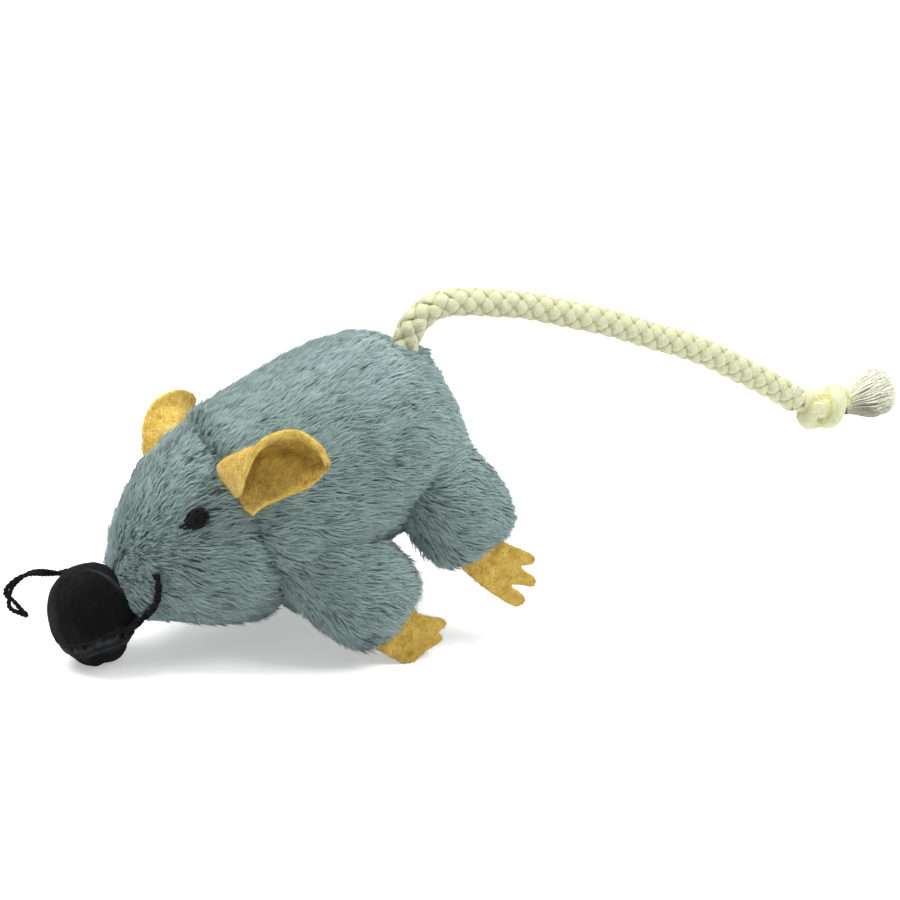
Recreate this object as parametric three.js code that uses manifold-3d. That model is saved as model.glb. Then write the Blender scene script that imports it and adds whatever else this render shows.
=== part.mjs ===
// A plush mouse for a cat: stuffed body, head and legs, felt ears and feet, a velvet nose
// and a braided rope tail that ends in a knot. It rests tipped forward on nose and front feet.
// Millimetres, +Z up, the mouse looks towards -X and its left side is towards -Y.

import * as THREE from 'three';
import { mergeVertices } from 'three/addons/utils/BufferGeometryUtils.js';
import Module from 'manifold-3d';

const wasm = await Module();
wasm.setup();

// How it rests
const pitch = THREE.MathUtils.degToRad(22);
const flat_depth = 0.5;

// Fits and cutters
const clearance = 0.3;
const hinge_clearance = 0.55;
const weld_distance = 0.0001;

// Body, from the neck seam back, heights above the soles
const neck_forward = 14;
const body_length = 53;
const body_half_width = 23.4;
const back_height = 60.2;
const belly_height = 16;
const body_row_shares = [
  [0, 0.8, 0.925, -0.07],
  [0.02, 0.87, 0.965, -0.12],
  [0.075, 0.93, 0.993, -0.155],
  [0.26, 0.985, 1, -0.11],
  [0.445, 1, 0.995, -0.03],
  [0.63, 0.97, 0.975, 0],
  [0.78, 0.86, 0.92, 0.005],
  [0.885, 0.68, 0.806, 0.05],
  [0.95, 0.5, 0.69, 0.13],
  [0.985, 0.36, 0.6, 0.24],
  [1, 0.18, 0.5, 0.34],
];

// Head, from the neck seam forward
const head_length = 30;
const head_half_width = 21.3;
const crown_height = 58.8;
const chin_height = 14.2;
const head_row_shares = [
  [0, 0.86, 0.955, 0.05],
  [0.03, 0.93, 0.98, 0.015],
  [0.12, 0.962, 0.975, -0.012],
  [0.26, 0.93, 0.945, 0.002],
  [0.4, 0.867, 0.907, 0.046],
  [0.56, 0.765, 0.844, 0.112],
  [0.68, 0.67, 0.777, 0.17],
  [0.79, 0.56, 0.707, 0.215],
  [0.88, 0.465, 0.63, 0.25],
  [0.96, 0.375, 0.56, 0.29],
  [1, 0.27, 0.51, 0.33],
];

// Legs, from the hip inside the body to the leg's end
const front_hip_back = -6;
const front_hip_out = 13;
const front_hip_height = 31;
const front_end_back = 3.9;
const front_end_out = 24.4;
const front_end_height = 7.4;
const front_leg_half_width = 12.2;
const front_leg_half_thickness = 8.6;
const hind_hip_back = 24.8;
const hind_hip_out = 12;
const hind_hip_height = 31;
const hind_end_back = 26.6;
const hind_end_out = 24.4;
const hind_end_height = 11.8;
const hind_leg_half_width = 11.7;
const hind_leg_half_thickness = 8.4;
const leg_row_shares = [
  [0, 0.86, 0.9],
  [0.3, 0.95, 1],
  [0.55, 0.98, 0.97],
  [0.75, 0.95, 0.88],
  [0.88, 0.86, 0.75],
  [0.96, 0.7, 0.58],
  [1, 0.44, 0.34],
];

// Felt feet: a flat paw below each leg's end, its toes pointing back
const felt_thickness = 1.2;
const foot_width = 14.2;
const front_foot_length = 13;
const hind_foot_length = 13.4;
const front_foot_forward = 1.8;
const hind_foot_forward = 0.8;
const foot_splay = THREE.MathUtils.degToRad(15);
const toe_rounding_steps = 3;
const hind_foot_shares = [
  [-0.36, -0.3], [-0.36, 0.02], [-0.25, 0.36], [-0.08, 0.74], [0.07, 0.99], [0.18, 1.03],
  [0.27, 0.98], [0.24, 0.84], [0.17, 0.66], [0.3, 0.74], [0.42, 0.85], [0.52, 0.84],
  [0.54, 0.73], [0.46, 0.58], [0.43, 0.46], [0.54, 0.52], [0.64, 0.53], [0.68, 0.44],
  [0.62, 0.33], [0.48, 0.15], [0.37, -0.02], [0.37, -0.3],
];
const front_foot_shares = [
  [-0.38, -0.3], [-0.38, 0.02], [-0.33, 0.22], [-0.18, 0.49], [-0.08, 0.63], [0.06, 0.67],
  [0.2, 0.64], [0.36, 0.61], [0.5, 0.62], [0.58, 0.58], [0.57, 0.49], [0.5, 0.42],
  [0.6, 0.44], [0.7, 0.42], [0.74, 0.35], [0.68, 0.26], [0.52, 0.11], [0.42, 0],
  [0.42, -0.3],
];

// Felt ears: leaves folded over at the root, which is caught in the neck seam, and cupped
// towards the tip. Curls are in degrees, how far the felt turns over from its middle to its edge.
// The swing is the list of angles, in degrees, at which the root has to clear body and head.
const ear_length = 24;
const ear_half_width = 8.46;
const ear_root_depth = 3.6;
const ear_steps = 18;
const ear_width_steps = 16;
const ear_seat_back = 0.25;
const ear_width_shares = [
  [0, 1.1], [0.15, 1.05], [0.35, 0.98], [0.55, 0.89], [0.72, 0.757], [0.85, 0.625], [0.94, 0.468], [1, 0.259],
];
const ear_curl_shares = [[0, 215], [0.2, 193], [0.4, 147], [0.6, 86], [0.8, 64], [1, 95]];
const ear_lower_curl_shares = [[0, 1.5], [0.3, 8], [0.6, 16], [0.8, 17], [1, 11]];
const ear_upper_share = 1.36;
const ear_twist_reach_share = 0.55;
const left_ear = {
  seat: THREE.MathUtils.degToRad(41.4),
  swing: [-4, 12, 26, 40],
  fold: THREE.MathUtils.degToRad(61),
  bend: THREE.MathUtils.degToRad(69),
  droop: THREE.MathUtils.degToRad(27),
  sag: THREE.MathUtils.degToRad(47),
  twist: THREE.MathUtils.degToRad(-5.4),
  open_share: 1,
};
const right_ear = {
  seat: THREE.MathUtils.degToRad(53.8),
  swing: [-12, 0, 12, 25],
  fold: THREE.MathUtils.degToRad(2.4),
  bend: THREE.MathUtils.degToRad(30),
  droop: THREE.MathUtils.degToRad(52.5),
  sag: THREE.MathUtils.degToRad(11.6),
  twist: THREE.MathUtils.degToRad(83),
  open_share: 0.69,
};

// Eyes: knots of black thread
const eye_half_length = 2.4;
const eye_half_width = 2;
const eye_half_height = 1.5;
const eye_head_share = 0.325;
const eye_angle = THREE.MathUtils.degToRad(50.5);

// Nose: a velvet ball gathered below
const nose_radius = 9.5;
const nose_half_height = 11.3;
const nose_forward = 58.1;
const nose_tilt = THREE.MathUtils.degToRad(10);
const nose_facets = 32;
const nose_profile_shares = [
  [0, 1], [0.22, 0.98], [0.44, 0.91], [0.64, 0.79], [0.8, 0.62], [0.92, 0.4], [0.99, 0.14],
  [1, -0.06], [0.96, -0.26], [0.87, -0.44], [0.77, -0.55], [0.72, -0.63], [0.64, -0.73],
  [0.46, -0.88], [0.26, -0.97], [0, -1],
];

// Black yarn of the mouth, its small knot and the loose end on the other side
const yarn_radius = 0.7;
const mouth_knot_radius = 1.25;
const yarn_sides = 8;
const mouth_steps = 14;
const mouth_share_angles = [[0.7, 76], [0.75, 90], [0.82, 104], [0.92, 116]];
const mouth_knot_back = 4.2;
const mouth_knot_out = 9.9;
const mouth_knot_below = 1.8;
const yarn_end_steps = 26;
const yarn_end_route = [
  [-44.2, 7.6, 31.5], [-46.4, 10.4, 34.4], [-49, 10.9, 36.6], [-51.9, 10.3, 38.6],
  [-54.2, 9.1, 41], [-56.3, 8.4, 42.7], [-58.4, 8, 43.4], [-60.3, 7.8, 43.4],
  [-62, 7.9, 42.7], [-63.2, 8.1, 41.3], [-63.4, 8.3, 39.5], [-62.9, 8.2, 37.4], [-61.7, 8, 34.7],
];

// Rope tail, its route in the middle plane as back and height, and its knot and tuft
const rope_radius = 3;
const rope_sides = 12;
const rope_steps = 34;
const tail_route = [
  [34.4, 51.8], [36.4, 53.7], [38.8, 55], [42.4, 55.6], [46, 54.7], [48.8, 53.2], [51.8, 51.4], [55.6, 48.7],
  [59.6, 46], [63.4, 42.9], [67, 39.6], [70.7, 36.2], [74.5, 32.8], [78.2, 29.2], [81.8, 25.4],
  [85.4, 21.5], [89.3, 17.6], [92.9, 13.5], [96.5, 9], [99.9, 4.1], [103.4, -0.8], [106.9, -6],
  [109.6, -10.6],
];
const knot_length = 12;
const knot_strand_radius = 2.45;
const knot_band_radius = 2.2;
const knot_middle = [115.2, -16.7];
const knot_tilt = THREE.MathUtils.degToRad(-28.2);
const knot_core_shares = [[-0.52, 0.2, 0.02], [-0.2, 0.17, 0.02], [0.15, 0.15, -0.02], [0.46, 0.17, -0.03]];
const knot_bight_shares = [
  [0.1, 0.08, 0.14], [-0.12, 0.09, 0.14], [-0.28, 0.06, 0.12], [-0.33, -0.09, 0.06],
  [-0.24, -0.19, 0], [-0.08, -0.19, -0.03], [0.1, -0.12, -0.05],
];
const knot_band_shares = [
  [0.26, 0.24, -0.05], [0.18, 0.25, 0.1], [0.13, 0.11, 0.2], [0.1, -0.09, 0.16],
  [0.12, -0.18, 0.02], [0.2, -0.09, -0.14], [0.26, 0.09, -0.2],
];
const knot_steps = 22;
const tuft_length = 12;
const tuft_root_radius = 2.4;
const tuft_tilt = THREE.MathUtils.degToRad(-24);
const tuft_facets = 20;
const tuft_profile_shares = [
  [1, 0], [1.04, 0.12], [1.2, 0.3], [1.5, 0.5], [1.82, 0.7], [2.1, 0.86], [2.2, 0.94], [1.9, 0.985], [1, 1],
];

// Colours seen in daylight
const plush_colour = new THREE.Color('#7f9089');
const felt_colour = new THREE.Color('#b78f45');
const rope_colour = new THREE.Color('#dedeb6');
const velvet_colour = new THREE.Color('#17181a');

// Small helpers
function spread(rows, share) {
  // the values of a table of rows at one share, on a smooth curve through the rows
  let i = 0;
  while (i < rows.length - 2 && rows[i + 1][0] < share) i += 1;
  const before = rows[Math.max(i - 1, 0)];
  const from = rows[i];
  const to = rows[i + 1];
  const after = rows[Math.min(i + 2, rows.length - 1)];
  const t = (share - from[0]) / (to[0] - from[0]);
  const gap = to[0] - from[0];
  return from.map((value, k) => {
    const slope_from = i > 0 ? (to[k] - before[k]) / (to[0] - before[0]) * gap : to[k] - value;
    const last = i + 2 > rows.length - 1;
    const slope_to = last ? to[k] - value : (after[k] - value) / (after[0] - from[0]) * gap;
    const a = 2 * t ** 3 - 3 * t ** 2 + 1;
    const b = t ** 3 - 2 * t ** 2 + t;
    const c = 3 * t ** 2 - 2 * t ** 3;
    const d = t ** 3 - t ** 2;
    return a * value + b * slope_from + c * to[k] + d * slope_to;
  });
}

function finerRows(rows, steps) {
  const shares = [];
  for (let i = 0; i < rows.length - 1; i += 1) {
    for (let j = 0; j < steps; j += 1) {
      shares.push(rows[i][0] + (rows[i + 1][0] - rows[i][0]) * j / steps);
    }
  }
  shares.push(rows[rows.length - 1][0]);
  return shares.map((share) => spread(rows, share));
}

function closedGrid(rings) {
  // joins rings of points, in order, into one closed surface with a fan at each end
  const positions = [];
  const index = [];
  const count = rings[0].length;
  const middle = (ring) => ring.reduce((sum, p) => sum.add(p), new THREE.Vector3()).divideScalar(count);
  rings.forEach((ring) => ring.forEach((p) => positions.push(p.x, p.y, p.z)));
  const first = middle(rings[0]);
  const last = middle(rings[rings.length - 1]);
  positions.push(first.x, first.y, first.z, last.x, last.y, last.z);
  const first_index = rings.length * count;
  for (let i = 0; i < count; i += 1) {
    const next = (i + 1) % count;
    index.push(first_index, next, i);
    index.push(first_index + 1, first_index - count + i, first_index - count + next);
    for (let r = 0; r < rings.length - 1; r += 1) {
      const a = r * count + i;
      const b = r * count + next;
      index.push(a, b, a + count, b, b + count, a + count);
    }
  }
  const geometry = new THREE.BufferGeometry();
  geometry.setAttribute('position', new THREE.Float32BufferAttribute(positions, 3));
  geometry.setIndex(index);
  return geometry;
}

function solidOf(geometry) {
  const bare = geometry.clone();
  bare.deleteAttribute('normal');
  bare.deleteAttribute('uv');
  const merged = mergeVertices(bare, weld_distance);
  return new wasm.Manifold(new wasm.Mesh({
    numProp: 3,
    vertProperties: new Float32Array(merged.attributes.position.array),
    triVerts: new Uint32Array(merged.index.array),
  }));
}

function geometryOf(solid) {
  const mesh = solid.getMesh();
  const geometry = new THREE.BufferGeometry();
  geometry.setAttribute('position', new THREE.BufferAttribute(mesh.vertProperties, 3));
  geometry.setIndex(new THREE.BufferAttribute(mesh.triVerts, 1));
  geometry.computeVertexNormals();
  return geometry;
}

function without(solid, cutters) {
  return cutters.reduce((left, cutter) => left.subtract(cutter), solid);
}

function withoutSwept(solid, cutters, place, axis, swing) {
  // cuts with the cutters as the swinging piece meets them at each angle, in degrees
  const to_place = new THREE.Matrix4().makeTranslation(place.x, place.y, place.z);
  const from_place = new THREE.Matrix4().makeTranslation(-place.x, -place.y, -place.z);
  return swing.reduce((left, degrees) => {
    const turn = new THREE.Matrix4().makeRotationAxis(axis, -THREE.MathUtils.degToRad(degrees));
    const moved = to_place.clone().multiply(turn).multiply(from_place);
    return without(left, cutters.map((cutter) => cutter.transform(moved.elements)));
  }, solid);
}

// Stuffed forms
const body_points = 40;
const leg_points = 24;
const body_height = back_height - belly_height;
const head_height = crown_height - chin_height;
const head_back = -neck_forward - clearance;

function trunkPlace(values, start, length, half_width, low, height, grow) {
  // one cross-section of body or head: where it lies and how far it reaches
  const [along, width, top, bottom] = values;
  const top_z = low + top * height + grow;
  const bottom_z = low + bottom * height - grow;
  return {
    x: start + along * length,
    z: (top_z + bottom_z) / 2,
    half_width: width * half_width + grow,
    half_height: (top_z - bottom_z) / 2,
  };
}

function trunkPoint(place, angle) {
  // angle 0 is the top of the back, positive towards the mouse's right side
  return new THREE.Vector3(
    place.x,
    place.half_width * Math.sin(angle),
    place.z + place.half_height * Math.cos(angle),
  );
}

function trunkForm(rows, start, length, half_width, low, height, grow) {
  const places = finerRows(rows, 2).map(
    (values) => trunkPlace(values, start, length, half_width, low, height, grow),
  );
  places[0].x -= Math.sign(length) * grow;
  places[places.length - 1].x += Math.sign(length) * grow;
  const rings = places.map((place) => {
    const ring = [];
    for (let i = 0; i < body_points; i += 1) {
      ring.push(trunkPoint(place, Math.sign(length) * -2 * Math.PI * i / body_points));
    }
    return ring;
  });
  return solidOf(closedGrid(rings));
}

function bodyForm(grow) {
  return trunkForm(
    body_row_shares, -neck_forward, body_length, body_half_width, belly_height, body_height, grow,
  );
}

function headForm(grow) {
  return trunkForm(
    head_row_shares, head_back, -head_length, head_half_width, chin_height, head_height, grow,
  );
}

function headPlace(share) {
  return trunkPlace(
    spread(head_row_shares, share),
    head_back, -head_length, head_half_width, chin_height, head_height, 0,
  );
}

function headSurface(share, angle) {
  // a point on the head and the way out of the fur there
  const step = 0.01;
  const point = trunkPoint(headPlace(share), angle);
  const along = trunkPoint(headPlace(share + step), angle).sub(point);
  const round = trunkPoint(headPlace(share), angle + step).sub(point);
  const outward = round.clone().cross(along).normalize();
  const middle = new THREE.Vector3(point.x, 0, headPlace(share).z);
  if (outward.dot(point.clone().sub(middle)) < 0) outward.negate();
  return { point, outward };
}

function legFrame(hip, end) {
  const axis = end.clone().sub(hip).normalize();
  const across = new THREE.Vector3(1, 0, 0).addScaledVector(axis, -axis.x).normalize();
  const through = axis.clone().cross(across).normalize();
  return { axis, across, through };
}

function legForm(hip, end, half_width, half_thickness, grow) {
  const { axis, across, through } = legFrame(hip, end);
  const length = end.distanceTo(hip) + grow;
  const rings = finerRows(leg_row_shares, 2).map(([along, width, thickness]) => {
    const ring = [];
    for (let i = 0; i < leg_points; i += 1) {
      const angle = 2 * Math.PI * i / leg_points;
      ring.push(hip.clone()
        .addScaledVector(axis, along * length)
        .addScaledVector(across, (width * half_width + grow) * Math.cos(angle))
        .addScaledVector(through, (thickness * half_thickness + grow) * Math.sin(angle)));
    }
    return ring;
  });
  return solidOf(closedGrid(rings));
}

// Felt feet
function footSolid(end, side, shares, length, forward) {
  const shape = new THREE.Shape();
  const points = shares.map(([back, down]) => new THREE.Vector2(back * foot_width, down * length));
  shape.moveTo(points[0].x, points[0].y);
  shape.lineTo(points[1].x, points[1].y);
  shape.splineThru(points.slice(2, points.length - 1));
  shape.lineTo(points[points.length - 1].x, points[points.length - 1].y);
  const geometry = new THREE.ExtrudeGeometry(shape, {
    depth: felt_thickness, bevelEnabled: false, curveSegments: toe_rounding_steps,
  });
  geometry.translate(-forward, 0, -felt_thickness / 2);
  const back = new THREE.Vector3(1, 0, 0);
  const down = new THREE.Vector3(0, side * Math.sin(foot_splay), -Math.cos(foot_splay));
  const face = back.clone().cross(down);
  geometry.applyMatrix4(new THREE.Matrix4().makeBasis(back, down, face).setPosition(end));
  return solidOf(geometry);
}

// Felt ears
function smoothStep(share) {
  const t = Math.min(Math.max(share, 0), 1);
  return t * t * (3 - 2 * t);
}

function earSection(leaf_share, open_share) {
  // the middle of the felt across the leaf, as steps wide and deep from the leaf's own middle
  const half_width = spread(ear_width_shares, leaf_share)[1] * ear_half_width;
  const curl = THREE.MathUtils.degToRad(spread(ear_curl_shares, leaf_share)[1]) * open_share;
  const lower_curl = THREE.MathUtils.degToRad(spread(ear_lower_curl_shares, leaf_share)[1]);
  const half_steps = ear_width_steps / 2;
  const step = half_width / half_steps;
  const upper = [];
  const lower = [];
  const at_upper = new THREE.Vector2(0, 0);
  const at_lower = new THREE.Vector2(0, 0);
  for (let j = 0; j < half_steps; j += 1) {
    const share = (j + 0.5) / half_steps;
    const upper_angle = curl * smoothStep(1.5 * share);
    const lower_angle = lower_curl * share;
    at_upper.add(new THREE.Vector2(
      -ear_upper_share * step * Math.cos(upper_angle), ear_upper_share * step * Math.sin(upper_angle),
    ));
    at_lower.add(new THREE.Vector2(step * Math.cos(lower_angle), step * Math.sin(lower_angle)));
    upper.unshift(at_upper.clone());
    lower.push(at_lower.clone());
  }
  return [...upper, new THREE.Vector2(0, 0), ...lower];
}

function earSeat(side, pose) {
  // where the ear is caught in the seam, the way straight out there and the way along the seam
  const neck = trunkPlace(
    body_row_shares[0], -neck_forward, body_length, body_half_width, belly_height, body_height, 0,
  );
  const seat = trunkPoint(neck, side * pose.seat);
  const upright = new THREE.Vector3(
    0, seat.y / neck.half_width ** 2, (seat.z - neck.z) / neck.half_height ** 2,
  ).normalize();
  const across = new THREE.Vector3(0, side * upright.z, -side * upright.y);
  seat.x += ear_seat_back;
  return { seat, upright, across };
}

function earSolid(side, pose) {
  const { seat, upright, across } = earSeat(side, pose);
  const back = new THREE.Vector3(1, 0, 0);
  const alongAt = (leaf_share) => {
    const fold = pose.fold + pose.bend * (leaf_share - 0.5);
    const droop = pose.droop + pose.sag * (leaf_share - 0.5);
    return upright.clone().multiplyScalar(Math.cos(fold)).addScaledVector(back, Math.sin(fold))
      .multiplyScalar(Math.cos(droop)).addScaledVector(across, Math.sin(droop));
  };
  const step = (ear_length + ear_root_depth) / ear_steps;
  const spine = seat.clone().addScaledVector(alongAt(0), -ear_root_depth);
  const middle = [];
  for (let i = 0; i <= ear_steps; i += 1) {
    const leaf_share = Math.max(i * step - ear_root_depth, 0) / ear_length;
    const along = alongAt(leaf_share);
    const square = across.clone().addScaledVector(along, -across.dot(along)).normalize();
    const twist = side * pose.twist * smoothStep(leaf_share / ear_twist_reach_share);
    const wide = square.applyAxisAngle(along, twist);
    const deep = along.clone().cross(wide).multiplyScalar(side).normalize();
    middle.push(earSection(leaf_share, pose.open_share).map(
      (p) => spine.clone().addScaledVector(wide, p.x).addScaledVector(deep, p.y),
    ));
    spine.addScaledVector(along, step);
  }
  const rings = middle.map((row, i) => {
    const before = middle[Math.max(i - 1, 0)];
    const after = middle[Math.min(i + 1, middle.length - 1)];
    const normals = row.map((p, j) => {
      const length_way = after[j].clone().sub(before[j]);
      const width_way = row[Math.min(j + 1, row.length - 1)].clone().sub(row[Math.max(j - 1, 0)]);
      return length_way.cross(width_way).normalize().multiplyScalar(felt_thickness / 2);
    });
    const front = row.map((p, j) => p.clone().add(normals[j]));
    const rear = row.map((p, j) => p.clone().sub(normals[j]));
    return rear.concat(front.reverse());
  });
  return solidOf(closedGrid(rings));
}

// Eyes
function eyeSolid(side) {
  const { point, outward } = headSurface(eye_head_share, side * eye_angle);
  const forward = new THREE.Vector3(-1, 0, 0).addScaledVector(outward, outward.x).normalize();
  const sideways = outward.clone().cross(forward);
  const geometry = new THREE.SphereGeometry(1, 16, 10);
  geometry.scale(eye_half_length, eye_half_width, eye_half_height);
  geometry.applyMatrix4(new THREE.Matrix4().makeBasis(forward, sideways, outward).setPosition(point));
  return solidOf(geometry);
}

// Nose, made upright on the floor and turned into the mouse's own frame
const to_mouse = new THREE.Matrix4().makeRotationY(pitch);

function noseGeometry(grow) {
  const profile = nose_profile_shares.map(([out, up]) => new THREE.Vector2(
    out === 0 ? 0 : out * nose_radius + grow,
    up * nose_half_height + Math.sign(up) * Math.abs(up) * grow,
  ));
  const geometry = new THREE.LatheGeometry(profile.reverse(), nose_facets);
  geometry.rotateX(Math.PI / 2);
  geometry.rotateY(-nose_tilt);
  return geometry;
}

const resting_nose = noseGeometry(0);
resting_nose.computeBoundingBox();
const nose_height = -resting_nose.boundingBox.min.z - flat_depth;

function noseForm(grow) {
  const geometry = noseGeometry(grow);
  geometry.translate(-nose_forward, 0, nose_height);
  geometry.applyMatrix4(to_mouse);
  return solidOf(geometry);
}

const nose_middle = new THREE.Vector3(-nose_forward, 0, nose_height).applyMatrix4(to_mouse);

// Tubes of rope and yarn
function tube(points, radius, sides, steps) {
  const section = new THREE.Shape();
  for (let i = 0; i < sides; i += 1) {
    const angle = 2 * Math.PI * (i + 0.5) / sides;
    const x = radius * Math.cos(angle);
    const y = radius * Math.sin(angle);
    if (i === 0) section.moveTo(x, y);
    else section.lineTo(x, y);
  }
  section.closePath();
  return solidOf(new THREE.ExtrudeGeometry(section, {
    steps, bevelEnabled: false, curveSegments: 1, extrudePath: new THREE.CatmullRomCurve3(points),
  }));
}

function ball(centre, radius) {
  const geometry = new THREE.SphereGeometry(radius, 16, 10);
  geometry.translate(centre.x, centre.y, centre.z);
  return solidOf(geometry);
}

// The floor, as a block to cut with
const floor_reach = body_length + head_length + nose_forward;
const floor_block = new THREE.BoxGeometry(2 * floor_reach, 2 * floor_reach, body_height);
floor_block.translate(0, 0, -body_height / 2);
floor_block.applyMatrix4(to_mouse);
const floor = solidOf(floor_block);

// The pieces, each cut by the larger ones it is sewn to
const body = bodyForm(0);
const head = headForm(0);
const near_body = bodyForm(clearance);
const near_head = headForm(clearance);
const trunk = [near_body, near_head];
const hinge_trunk = [bodyForm(hinge_clearance), headForm(hinge_clearance)];

const front_end = (side) => new THREE.Vector3(front_end_back, side * front_end_out, front_end_height);
const hind_end = (side) => new THREE.Vector3(hind_end_back, side * hind_end_out, hind_end_height);
const frontLeg = (side, grow) => legForm(
  new THREE.Vector3(front_hip_back, side * front_hip_out, front_hip_height),
  front_end(side), front_leg_half_width, front_leg_half_thickness, grow,
);
const hindLeg = (side, grow) => legForm(
  new THREE.Vector3(hind_hip_back, side * hind_hip_out, hind_hip_height),
  hind_end(side), hind_leg_half_width, hind_leg_half_thickness, grow,
);

const mouse = new THREE.Group();
const cords = new THREE.Group();

function add(group, name, solid, colour, roughness) {
  const material = new THREE.MeshStandardMaterial({ color: colour, roughness, metalness: 0 });
  const mesh = new THREE.Mesh(geometryOf(solid), material);
  mesh.name = name;
  group.add(mesh);
}

add(mouse, 'body', body, plush_colour, 0.95);
add(mouse, 'head', head, plush_colour, 0.95);

const sides = [['left', -1], ['right', 1]];
sides.forEach(([word, side]) => {
  add(mouse, `front_leg_${word}`, without(frontLeg(side, 0), trunk), plush_colour, 0.95);
  add(mouse, `hind_leg_${word}`, without(hindLeg(side, 0), [near_body, frontLeg(side, clearance)]), plush_colour, 0.95);
  add(mouse, `front_foot_${word}`, without(
    footSolid(front_end(side), side, front_foot_shares, front_foot_length, front_foot_forward),
    [frontLeg(side, hinge_clearance), floor],
  ), felt_colour, 0.9);
  add(mouse, `hind_foot_${word}`, without(
    footSolid(hind_end(side), side, hind_foot_shares, hind_foot_length, hind_foot_forward),
    [hindLeg(side, hinge_clearance)],
  ), felt_colour, 0.9);
  add(mouse, `eye_${word}`, without(eyeSolid(side), [near_head]), velvet_colour, 0.8);
});

[['left', -1, left_ear], ['right', 1, right_ear]].forEach(([word, side, pose]) => {
  const { seat, across } = earSeat(side, pose);
  const ear = without(earSolid(side, pose), hinge_trunk);
  add(mouse, `ear_${word}`, withoutSwept(ear, trunk, seat, across, pose.swing), felt_colour, 0.9);
});

add(mouse, 'nose', without(noseForm(0), [near_head, floor]), velvet_colour, 0.9);

// Mouth
const mouth_lift = yarn_radius + clearance;
const mouth_points = mouth_share_angles.map(([share, degrees]) => {
  const { point, outward } = headSurface(share, -THREE.MathUtils.degToRad(degrees));
  return point.addScaledVector(outward, mouth_lift);
});
const knot_place = nose_middle.clone().add(
  new THREE.Vector3(mouth_knot_back, -mouth_knot_out, -mouth_knot_below),
);
mouth_points.push(knot_place);
add(mouse, 'mouth_knot', without(ball(knot_place, mouth_knot_radius), [near_head, noseForm(clearance)]), velvet_colour, 0.8);
add(mouse, 'mouth_yarn', without(
  tube(mouth_points, yarn_radius, yarn_sides, mouth_steps),
  [near_head, noseForm(clearance), ball(knot_place, mouth_knot_radius + clearance)],
), velvet_colour, 0.8);
add(cords, 'yarn_end', without(
  tube(yarn_end_route.map(([x, y, z]) => new THREE.Vector3(x, y, z)), yarn_radius, yarn_sides, yarn_end_steps),
  [near_head, noseForm(clearance)],
), velvet_colour, 0.8);

// Tail
const tail_points = tail_route.map(([x, z]) => new THREE.Vector3(x, 0, z));
const tail_root = tail_points[0];
const tail_end = tail_points[tail_points.length - 1];
const tail_way = tail_end.clone().sub(tail_points[tail_points.length - 2]).normalize();
const tail_axis = new THREE.Vector3(Math.sin(pitch), 0, Math.cos(pitch));
const tail_swing = [-60, -45, -30, -15, 0, 15, 30, 45, 60];
add(cords, 'tail_rope', withoutSwept(
  tube(tail_points, rope_radius, rope_sides, rope_steps).add(ball(tail_root, rope_radius)),
  [near_body], tail_root, tail_axis, tail_swing,
), rope_colour, 0.9);

// Knot: the core runs through it, a bight bulges to the front, a band is drawn round both
const knot_centre = new THREE.Vector3(knot_middle[0], 0, knot_middle[1]);
const knot_along = new THREE.Vector3(Math.cos(knot_tilt), 0, Math.sin(knot_tilt));
const knot_up = new THREE.Vector3(-Math.sin(knot_tilt), 0, Math.cos(knot_tilt));
const knot_out = new THREE.Vector3(0, -1, 0);
function knotPoint([along, up, out]) {
  return knot_centre.clone()
    .addScaledVector(knot_along, along * knot_length)
    .addScaledVector(knot_up, up * knot_length)
    .addScaledVector(knot_out, out * knot_length);
}
const knot_core = knot_core_shares.map(knotPoint);
const knot_band = knot_band_shares.map(knotPoint);
const tail_stop = tail_end.clone().addScaledVector(tail_way, clearance);
const near_rope = tube(
  [...tail_points, tail_stop], rope_radius + clearance, rope_sides, rope_steps,
);
const knot = tube(knot_core, knot_strand_radius, rope_sides, knot_steps)
  .add(tube(knot_bight_shares.map(knotPoint), knot_strand_radius, rope_sides, knot_steps))
  .add(tube([...knot_band, knot_band[0]], knot_band_radius, rope_sides, knot_steps));
add(cords, 'tail_knot', without(knot, [near_rope]), rope_colour, 0.9);

const tuft_profile = [
  new THREE.Vector2(0, 0),
  ...tuft_profile_shares.map(([out, along]) => new THREE.Vector2(out * tuft_root_radius, along * tuft_length)),
  new THREE.Vector2(0, tuft_length),
];
const tuft = new THREE.LatheGeometry(tuft_profile, tuft_facets);
tuft.rotateZ(-Math.PI / 2);
tuft.translate(clearance, 0, 0);
tuft.rotateY(-tuft_tilt);
tuft.translate(knot_core[3].x, knot_core[3].y, knot_core[3].z);
add(cords, 'tail_tuft', solidOf(tuft), rope_colour, 0.9);

const object = new THREE.Group();
cords.rotation.y = -pitch;
mouse.rotation.y = -pitch;
object.add(mouse, cords);
object.updateMatrixWorld(true);
const box = new THREE.Box3().setFromObject(mouse, true);
object.position.x = -(box.min.x + box.max.x) / 2;
object.position.y = -(box.min.y + box.max.y) / 2;

export default object;
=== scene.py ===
import math

import bpy
import numpy as np
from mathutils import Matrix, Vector


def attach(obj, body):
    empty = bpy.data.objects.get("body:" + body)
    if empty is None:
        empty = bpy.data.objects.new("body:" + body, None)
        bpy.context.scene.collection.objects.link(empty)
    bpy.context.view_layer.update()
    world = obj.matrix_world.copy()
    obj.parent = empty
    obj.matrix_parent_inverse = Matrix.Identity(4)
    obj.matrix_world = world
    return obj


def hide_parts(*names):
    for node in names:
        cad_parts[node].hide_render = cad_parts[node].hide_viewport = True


# A plush mouse for a cat, dressed over its fixed solids: combed pile on stuffed forms, felt ears
# and feet, a gathered velvet nose, twisted yarn, and a braided rope tail with a knot and a tuft.
# Shapes are worked out in millimetres in the mouse's own frame, back, right and up from the
# soles, then turned nose down and moved to where the solids are. A wave is a share, a wavelength
# and a phase; a fade is where it starts and its reach; a hill is its middle and its reach.

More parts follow.
